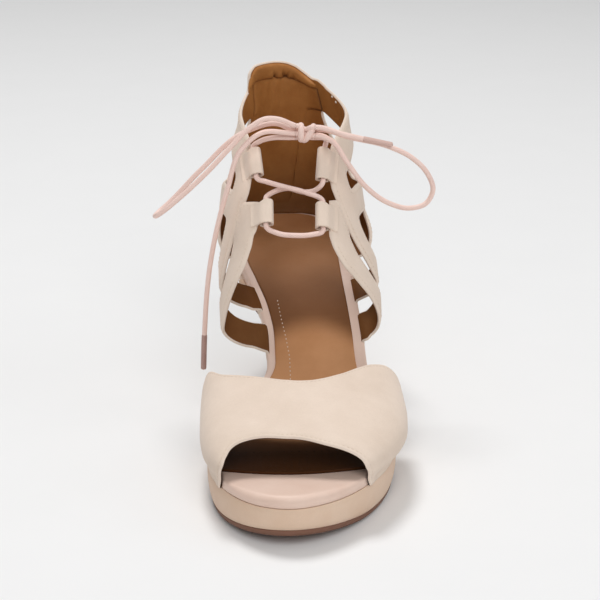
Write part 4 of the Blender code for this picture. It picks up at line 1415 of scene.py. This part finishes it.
# the height of a pattern row, counted from 0 at the lasted edge under the footbed
def cageHeight(along, row):
    edgeAlong = footEdge(lateral, along)[1]
    low = [footbedBottom(edgeAlong) + sole["lasting"]]
    low += [footbedTop(edgeAlong) + up for up in cage["lowRows"]]
    last = len(low) - 1
    if row >= last:
        return low[-1] + (cage["high"] - low[-1]) * (row - last) / cage["highRows"]
    k = int(max(0.0, row))
    return low[k] + (low[k + 1] - low[k]) * (row - k)


def sideOf(pattern):
    return medial if pattern < 0 else lateral


def alongOf(pattern):
    return cage["wrapEnd"] - abs(pattern)


def patternPoint(pattern, row):
    along = alongOf(pattern)
    return cagePoint(sideOf(pattern), along, cageHeight(along, row))


def strapAway(side, strap, point):
    tree, halves, end = strapTrees[side, strap]
    _, k, away = tree.find(point)
    away -= halves[k]
    return max(away, (point - end[0]).dot(end[1])) if end else away


# how deep a point lies in the room that the lace loops need
def loopRoom(side, point):
    deepest = -99.0
    for name in ("lower", "upper"):
        low, high = loopFrames[name, side][:2]
        way, half = (high - low).normalized(), (high - low).length / 2
        reach = (point - low).dot(way)
        aside = (point - low - way * reach).length
        deepest = max(deepest, min(cage["room"][0] - aside, half + cage["room"][1] - abs(reach - half)))
    return deepest


# how far a point of the pattern lies outside the front strap's cut edge
def frontDistance(pattern, row):
    side = sideOf(pattern)
    point = patternPoint(pattern, row)
    return max(strapAway(side, "frontStrap", point), loopRoom(side, point))


# the same for the rest of the cage, which is cut apart from the front strap
def cageDistance(pattern, row):
    side, along = sideOf(pattern), alongOf(pattern)
    height = cageHeight(along, row)
    point = cagePoint(side, along, height)
    found = max(counterFront[side](height) - along, height - topline(pattern))
    for strap in ("rearStrap", "midStrap", "collarStrap"):
        away = strapAway(side, strap, point)
        near = max(cage["fillet"] - abs(found - away), 0.0) / cage["fillet"]
        found = min(found, away) - near * near * cage["fillet"] / 4
    found = max(found, loopRoom(side, point))
    return max(found, cage["slot"] - strapAway(side, "frontStrap", point))


# the inner face's point, its outward normal and its two tangents on the pattern
def cageFrame(pattern, row):
    step = 0.4
    sideways = (patternPoint(pattern + step, row) - patternPoint(pattern - step, row)) / (2 * step)
    low, high = max(0.0, row - 0.1), row + 0.1
    upwards = (patternPoint(pattern, high) - patternPoint(pattern, low)) / (high - low)
    return patternPoint(pattern, row), upwards.cross(sideways).normalized(), sideways, upwards


# the way out of the cut edge, lying in the leather
def cutDirection(pattern, row, sideways, upwards, distance):
    slopeA = (distance(pattern + 0.3, row) - distance(pattern - 0.3, row)) / 0.6
    slopeB = (distance(pattern, row + 0.08) - distance(pattern, row - 0.08)) / 0.16
    aa, ab, bb = sideways.dot(sideways), sideways.dot(upwards), upwards.dot(upwards)
    spread = aa * bb - ab * ab
    way = sideways * ((bb * slopeA - ab * slopeB) / spread)
    way += upwards * ((aa * slopeB - ab * slopeA) / spread)
    return way.normalized() if way.length > 1e-6 else way


def snapToEdge(vert, within, distance):
    onFloor = vert.co.y < 1e-4
    for _ in range(2):
        here = distance(vert.co.x, vert.co.y)
        if abs(here) > within:
            return here
        slopeX = (distance(vert.co.x + 0.2, vert.co.y) - here) / 0.2
        slopeY = 0.0 if onFloor else (distance(vert.co.x, vert.co.y + 0.05) - here) / 0.05
        steep = slopeX**2 + slopeY**2
        if steep < 0.1:
            return here
        vert.co.x -= here * slopeX / steep
        vert.co.y = max(0.0, vert.co.y - here * slopeY / steep)
    return 0.0


def patternGrid(low, high, cell):
    rows = (len(cage["lowRows"]) + cage["highRows"]) * cage["finer"]
    bm = bmesh.new()
    bmesh.ops.create_grid(bm, x_segments=round((high - low) / cell), y_segments=rows, size=1.0)
    for vert in bm.verts:
        across = (low + high) / 2 + vert.co.x * (high - low) / 2
        vert.co = (across, round((vert.co.y + 1) / 2 * rows) / cage["finer"], 0.0)
    return bm


# keeps what lies inside an edge of the pattern
def cutAway(bm):
    everything = bm.verts[:] + bm.edges[:] + bm.faces[:]
    bmesh.ops.bisect_plane(
        bm, geom=everything, dist=1e-5, plane_co=(0, 0, 0), plane_no=(0, 0, 1), clear_outer=True
    )


# a cut piece of the pattern as a slab, with its cut edge marked
def cutSlab(low, high, distance):
    bm = patternGrid(low, high, cage["cell"])
    for vert in bm.verts:
        vert.co.z = snapToEdge(vert, 0.3 * cage["cell"], distance)
    cutAway(bm)
    rim = bm.verts.layers.float.new("rim")
    bm.verts.layers.float.new("edge")
    for vert in bm.verts:
        vert[rim] = 1.0 if vert.is_boundary and vert.co.y > 0.01 else 0.0
        if vert[rim]:
            snapToEdge(vert, cage["cell"], distance)
        vert.co.z = 0.0
    return thickened(bm, 5)


# how far the straps are pulled in near the footbed, and the height above it
def drawnIn(pattern, point):
    above = point.z - footbedTop(footEdge(lateral, alongOf(pattern))[1])
    pull, high, low = cage["drawIn"]
    pull *= smoothStep(62.0, 78.0, abs(pattern))  # the counter stays full
    return pull * smoothStep(high, low, above), above


# painted shade: the lining is darker towards the footbed, where the straps shade it
def liningShade(point):
    dark, high, low = cage["paintedShade"]
    return dark * smoothStep(high, low, point.z)


# lays a slab on the form: nubuck outside, lining inside and a turned edge between them
def lasted(bm, distance, raised):
    rim, edge = bm.verts.layers.float["rim"], bm.verts.layers.float["edge"]
    lining = [face for face in bm.faces if all(vert.co.z < 0.01 for vert in face.verts)]
    for vert in bm.verts:
        pattern, row, w = vert.co
        point, normal, sideways, upwards = cageFrame(pattern, row)
        away = abs(distance(pattern, row))
        lift = (cage["wall"] - cage["skive"] * bump(away, 0.0, 1.6)) * w + raised(point)
        lift -= drawnIn(pattern, point)[0]
        shift = Vector()
        if vert[rim] > 0.5:
            shift = cutDirection(pattern, row, sideways, upwards, distance)
            shift *= 0.8 * math.sin(math.pi * w) - 0.3
        if w > 0.99:
            lift += 0.12 * noise(point * 0.08) + 0.12 * bump(away, 1.0, 0.8)
        # outside: lighter rubbed edges; on the lining: painted shade towards the footbed
        vert[edge] = cage["rub"] * bump(away, 0.0, 0.7) if w > 0.1 else liningShade(point)
        vert.co = place(*(point + normal * lift + shift))
    for face in lining:
        face.material_index = 1
    closed(bm)
    return bm


# the front strap lies a little proud, over the edge of the rear strap
def frontRaised(point):
    return 0.7 * smoothStep(84.0, 96.0, point.z)


def addCage():
    surfaces = []
    reach = cage["wrapEnd"] - cage["front"]
    cuts = (
        ("strapCage", -reach, reach, cageDistance, lambda point: 0.0),
        ("frontStrapMedial", -reach, -cage["frontFrom"], frontDistance, frontRaised),
        ("frontStrapLateral", cage["frontFrom"], reach, frontDistance, frontRaised),
    )
    for name, low, high, distance, raised in cuts:
        bm = lasted(cutSlab(low, high, distance), distance, raised)
        surfaces.append(BVHTree.FromBMesh(bm))
        addPiece(name, bm, [nubuck, goatLining], "nude_leather", "cage")
    return surfaces


cageSurfaces = addCage()
print("cage lasted")

# the pattern row at a height on the upper part of the form
def cageRow(along, height):
    bed = footbedTop(footEdge(lateral, along)[1]) + cage["lowRows"][-1]
    return len(cage["lowRows"]) + cage["highRows"] * (height - bed) / (cage["high"] - bed)


# collar roll: the lining turned over a thin pad inside the topline, puckered where it rounds the heel
collarRoll = {
    # pattern, how deep it stands in, half its height, its middle under the topline
    "pad": (
        (-42, 0.4, 1.6, 4.2),
        (-38, 1.4, 3.0, 4.2),
        (-28, 2.2, 3.7, 4.3),
        (-12, 2.8, 3.8, 4.4),
        (2, 2.6, 3.2, 4.0),
        (14, 2.2, 2.2, 3.0),
        (23, 1.7, 1.5, 2.3),
        (28, 0.4, 0.9, 1.8),
    ),
    # pattern, depth and width of the pinch, its slant
    "puckers": (
        (-15.5, 0.6, 1.0, 2.6),
        (-12.0, 0.5, 2.2, -1.0),
        (-5.5, 0.9, 1.7, 2.2),
        (-0.5, 0.8, 1.2, -2.4),
        (4.5, 0.4, 2.4, -1.4),
    ),
    "around": 22,
    "rings": 180,
}


def addCollarRoll():
    first, last = collarRoll["pad"][0][0], collarRoll["pad"][-1][0]
    deep, half, below = (through(collarRoll["pad"], column) for column in (1, 2, 3))
    bm = rod(collarRoll["around"], collarRoll["rings"])
    dark = bm.verts.layers.float.new("edge")
    for vert in bm.verts:
        pattern = first + (last - first) * (vert.co.z + 0.5)
        inward, up = vert.co.x, vert.co.y
        row = cageRow(alongOf(pattern), topline(pattern) - below(pattern))
        point, normal, _, upwards = cageFrame(pattern, row)
        pinched = 0.0
        for spot, depth, width, slant in collarRoll["puckers"]:
            pinched += depth * bump(pattern + slant * up, spot, width)
        pinched *= smoothStep(0.35, -0.75, up)
        stands = deep(pattern) * (1 - 0.75 * min(1.0, pinched)) * max(0.0, inward) ** 0.7
        stands -= 0.3 if inward < 0 else 0.0
        height = half(pattern) * math.copysign(abs(up) ** 0.8, up)
        # painted shade: darker in the puckers' creases, and a painted shadow line along the roll's
        # underside
        seam = smoothStep(-30.0, -8.0, pattern) * bump(up, -1.0, 0.3)
        vert[dark] = min(0.85, 0.7 * pinched + (0.15 + 0.3 * pinched) * seam)
        vert.co = place(*(point - normal * stands + upwards.normalized() * height))
    bmesh.ops.recalc_face_normals(bm, faces=bm.faces)
    piece = addPiece("collarRoll", bm, [goatLining], "brown_leather")


addCollarRoll()

# heel pocket: a second sheet of lining sewn in under the roll, a little loose at its top
heelPocket = {
    "left": -36.0,
    "below": ((-42, 6.6), (-8, 7.0), (4, 6.0), (14, 4.2), (26, 2.6), (36, 2.0)),
    "sheet": 0.8,
    "right": ((84, 31.0), (140, 34.0), (147, 32.0), (154, 29.0), (160, 28.0)),
    "bottom": ((-42, 84.0), (0, 84.0), (8, 120.0), (17, 138.0), (36, 140.0)),
    # pattern, depth and width of the soft folds
    "folds": ((-21.0, 0.5, 3.0), (-11.0, 0.9, 2.6), (-1.0, 0.8, 3.2), (13.0, 0.5, 3.5)),
    "seam": 0.8,
    "span": 42.0,
    "seenFrom": (136.5, 139.5),  # its edge shows above these heights, and is skived to nothing below
    "looseFrom": (136.0, 154.0),
    "tacks": ((42.9, 150.6), (49.0, 146.5)),  # pattern, height
    "tack": {"pitch": 3.8, "length": 1.5, "width": 1.1, "height": 0.4, "lift": 0.0},
}
pocketRight, pocketBottom = through(heelPocket["right"]), through(heelPocket["bottom"])
pocketBelow = through(heelPocket["below"])


def pocketDistance(pattern, row):
    height = cageHeight(alongOf(pattern), row)
    top = topline(pattern) - pocketBelow(pattern)
    aside = max(heelPocket["left"] - pattern, pattern - pocketRight(height))
    return max(aside, pocketBottom(pattern) - height, height - top)


def addHeelPocket():
    bm = cutSlab(-heelPocket["span"], heelPocket["span"], pocketDistance)
    edge = bm.verts.layers.float["edge"]
    for vert in bm.verts:
        pattern, row, w = vert.co
        point, normal, _, _ = cageFrame(pattern, row)
        away = abs(pocketDistance(pattern, row))
        loose = sum(depth * bump(pattern, spot, width) for spot, depth, width in heelPocket["folds"])
        loose *= smoothStep(*heelPocket["looseFrom"], point.z) * smoothStep(0.0, 4.0, away)
        seen = smoothStep(*heelPocket["seenFrom"], point.z)
        cut = 0.35 * seen
        sheet = heelPocket["sheet"] * (cut + (1 - cut) * smoothStep(0.0, 7.5 - 6.0 * seen, away)) + loose
        # painted shadow: a dark line along the pocket's edge, stronger towards the lateral side, over the
        # lining's painted shade towards the footbed
        side = 0.3 + 0.55 * smoothStep(-20.0, 8.0, pattern)
        vert[edge] = liningShade(point) + side * seen * bump(away, 0.0, heelPocket["seam"])
        sunk = 0.5 * (1 - seen) * smoothStep(2.5, 0.0, away)
        vert.co = place(*(point - normal * (0.05 + sheet * (1 - w) - sunk)))
    closed(bm)
    addPiece("heelPocket", bm, [goatLining], "brown_leather")
    # two cream tacks hold the collar's lining beside it
    tacks = []
    for pattern, height in heelPocket["tacks"]:
        point, normal, _, _ = cageFrame(pattern, cageRow(alongOf(pattern), height))
        tacks.append((point, -normal))
    addStitches("collarTacks", [tacks], heelPocket["tack"], creamThread, "brown_leather")


addHeelPocket()
print("collar padded")

# lace loops: the strap's end folded round the cord and sewn down on its outside
fold = {
    "half": (2.95, 2.3),
    "power": 3.2,
    "wall": 1.1,
    "flap": 5.0,
    "flat": 0.3,  # share of the sheet that lies on the strap
    "sewn": 0.15,  # where along the sheet it is sewn down
    "notch": 1.1,
    "across": 44,
    "lengthways": 16,
    "stitch": {"pitch": 1.5, "length": 0.95, "width": 0.4, "height": 0.16, "lift": -0.06},
}


# where a line square to the loop meets the strap, counted along out from the loop's middle line
def strapLevel(point, out):
    ahead = place(*(point + out * 9)) - place(*point)
    found = []
    for surface in cageSurfaces:
        spot = surface.ray_cast(place(*(point + out * 9)), -ahead.normalized(), 16 * mm)[0]
        if spot:
            found.append((spot - place(*point)).dot(ahead.normalized()) / mm)
    return max(found) if found else None


# the folded sheet's section: aside from the loop's middle line and out from it
def foldSection(share, level):
    halfWide, halfDeep = fold["half"]
    flat = fold["flat"]
    turn = math.radians(100 - 262 * max(0.0, share - flat) / (1 - flat))
    c, s = math.cos(turn), math.sin(turn)
    aside = halfWide * math.copysign(abs(c) ** (2 / fold["power"]), c)
    raised = halfDeep * math.copysign(abs(s) ** (2 / fold["power"]), s)
    if share < flat:
        back = 1 - share / flat
        aside -= (fold["flap"] + halfWide + aside) * back
        raised += (level - raised) * smoothStep(0.0, 0.8, back)
    return aside, raised


def addFold(name, side):
    low, high, across, out = loopFrames[name, side]
    reach = fold["half"][0] + fold["flap"]
    rows = fold["lengthways"]
    levels = []
    for k in range(rows + 1):
        middle = low.lerp(high, k / rows)
        seen = [strapLevel(middle - across * (reach - inside), out) for inside in (0.0, 1.0)]
        levels += [level for level in seen if level is not None]
    level = sum(levels) / len(levels) + 0.45 if levels else fold["half"][1] * 0.4
    print(name, side, "flap level", round(level, 2))
    bm = bmesh.new()
    bmesh.ops.create_grid(bm, x_segments=fold["across"], y_segments=rows, size=1.0)
    way = (high - low).normalized()
    pared = []
    for vert in bm.verts:
        share, t = (vert.co.x + 1) / 2, (vert.co.y + 1) / 2
        aside, raised = foldSection(share, level)
        notch = fold["notch"] * bump(share, fold["flat"] * 0.8, 0.06) * smoothStep(0.75, 1.0, t)
        pared.append(0.35 + 0.65 * smoothStep(0.0, fold["flat"] * 0.45, share))
        vert.co = place(*(low.lerp(high, t) + across * aside + out * raised - way * notch))
    if across.cross(out).dot(way) > 0:
        bmesh.ops.reverse_faces(bm, faces=bm.faces)
    sideName = "Medial" if side == medial else "Lateral"
    node = f"lace_loop_{name}_{sideName.lower()}"
    piece = addPiece(f"laceFold{name.title()}{sideName}", bm, [nubuck], "nude_leather", node)
    skive = piece.vertex_groups.new(name="skive")
    for k, weight in enumerate(pared):
        skive.add([k], weight, "REPLACE")
    wall = piece.modifiers.new("wall", "SOLIDIFY")
    wall.vertex_group = "skive"
    wall.thickness = fold["wall"] * mm
    wall.offset = 0.0
    wall.use_even_offset = True
    rounding = piece.modifiers.new("rounding", "BEVEL")
    rounding.width = 0.35 * mm
    rounding.segments = 3
    rounding.limit_method = "ANGLE"
    rounding.angle_limit = math.radians(50)
    aside, raised = foldSection(fold["sewn"], level)
    sewn = []
    for k in range(13):
        middle = low.lerp(high, 0.06 + 0.88 * k / 12)
        sewn.append((middle + across * aside + out * (raised + fold["wall"] / 2), out))
    return sewn


foldLines = [addFold(foldName, foldSide) for foldName, foldSide in lace["loops"]]
addStitches("foldStitching", foldLines, fold["stitch"], foldThread, "nude_leather")
print("loops folded")

# strap stitching: a line a little inside every cut edge
strapStitch = {
    "pitch": 2.2,
    "length": 1.6,
    "width": 0.4,
    "height": 0.17,
    "lift": -0.12,
    "inside": 1.7,
    "above": 8.0,  # no stitches nearer to the footbed
}


def edgeLines(low, high, distance, inside):
    bm = patternGrid(low, high, cage["cell"])
    for vert in bm.verts:
        vert.co.z = distance(vert.co.x, vert.co.y) + inside
    cutAway(bm)
    left = {edge for edge in bm.edges if edge.is_boundary and all(abs(v.co.z) < 1e-3 for v in edge.verts)}
    lines = []
    while left:
        edge = left.pop()
        line = list(edge.verts)
        for end in (-1, 0):
            while True:
                ahead = next((e for e in line[end].link_edges if e in left), None)
                if not ahead:
                    break
                left.discard(ahead)
                following = ahead.other_vert(line[end])
                line.insert(len(line) if end else 0, following)
        if len(line) > 6:
            lines.append([(vert.co.x, vert.co.y) for vert in line])
    bm.free()
    return lines


def addStrapStitches():
    lines = []
    reach = cage["wrapEnd"] - cage["front"]
    runs = [(run, 0.0) for run in edgeLines(-reach, reach, cageDistance, strapStitch["inside"])]
    for low, high in ((-reach, -cage["frontFrom"]), (cage["frontFrom"], reach)):
        runs += [(run, 1.0) for run in edgeLines(low, high, frontDistance, strapStitch["inside"])]
    for run, front in runs:
        line = []
        for pattern, row in run:
            point, normal, _, _ = cageFrame(pattern, row)
            pulled, above = drawnIn(pattern, point)
            lift = cage["wall"] + front * frontRaised(point) - pulled
            side = sideOf(pattern)
            if loopRoom(side, point) < -4.0 and above > strapStitch["above"]:
                line.append((point + normal * lift, normal))
            elif len(line) > 1:
                lines.append(line)
                line = []
        if len(line) > 1:
            lines.append(line)
    addStitches("strapStitching", lines, strapStitch, nudeThread, "nude_leather")


addStrapStitches()

# stage: a pale floor, a high light behind on the left, and soft light from the front
light = {
    "key": ((-0.25, 0.62, 1.8), 0.6, 17.5),
    "fill": ((0.2, -1.5, 1.5), 1.6, 16.0),
    "side": ((1.6, -0.3, 1.1), 1.4, 2.8),
    "sky": 0.38,
    "far": (-0.1, 1.1, 0.9),  # painted shade: the paper is darker towards the back, where less light falls: from and to in metres, its share
}


def addStage():
    bm = bmesh.new()
    bmesh.ops.create_grid(bm, x_segments=8, y_segments=8, size=4.0)
    mesh = bpy.data.meshes.new("studioFloor")
    bm.to_mesh(mesh)
    bm.free()
    paper, tree, shader = newMaterial("palePaper", {"Roughness": 0.9, "Specular IOR Level": 0.2})
    where = addNode(tree, "ShaderNodeTexCoord").outputs["Object"]
    fibre = addNode(
        tree, "ShaderNodeTexNoise", {"Vector": where, "Scale": 1 / (40 * mm)}
    ).outputs["Fac"]
    tone = addNode(
        tree,
        "ShaderNodeMix",
        {0: fibre, 6: linear("#EFEFEF"), 7: linear("#F1F1F1")},
        data_type="RGBA",
    ).outputs[2]
    # painted shade: the floor's colour falls off towards the back
    back = addNode(tree, "ShaderNodeSeparateXYZ", {0: where}).outputs["Y"]
    near, far, share = light["far"]
    paintedFalloff = addNode(
        tree,
        "ShaderNodeMapRange",
        {"Value": back, "From Min": near, "From Max": far, "To Min": 1.0, "To Max": share},
    ).outputs["Result"]
    colour = addNode(
        tree, "ShaderNodeMix", {0: 1.0, 6: tone, 7: paintedFalloff}, data_type="RGBA", blend_type="MULTIPLY"
    ).outputs[2]
    tree.links.new(colour, shader.inputs["Base Color"])
    mesh.materials.append(paper)
    floor = bpy.data.objects.new("studioFloor", mesh)
    bpy.context.scene.collection.objects.link(floor)
    for name in ("key", "fill", "side"):
        at, size, watts = light[name]
        lamp = bpy.data.lights.new(name + "Light", "AREA")
        lamp.shape = "DISK"
        lamp.size = size
        lamp.energy = watts
        made = bpy.data.objects.new(name + "Light", lamp)
        made.location = at
        made.rotation_euler = (Vector((0, 0, 0.06)) - Vector(at)).to_track_quat("-Z", "Y").to_euler()
        bpy.context.scene.collection.objects.link(made)
    world = bpy.data.worlds.new("softRoom")
    world.use_nodes = True
    world.node_tree.nodes["Background"].inputs["Color"].default_value = linear("#F4F4F4")
    world.node_tree.nodes["Background"].inputs["Strength"].default_value = light["sky"]
    bpy.context.scene.world = world
    bpy.context.scene.view_settings.view_transform = "Standard"


addStage()
print("stage lit")
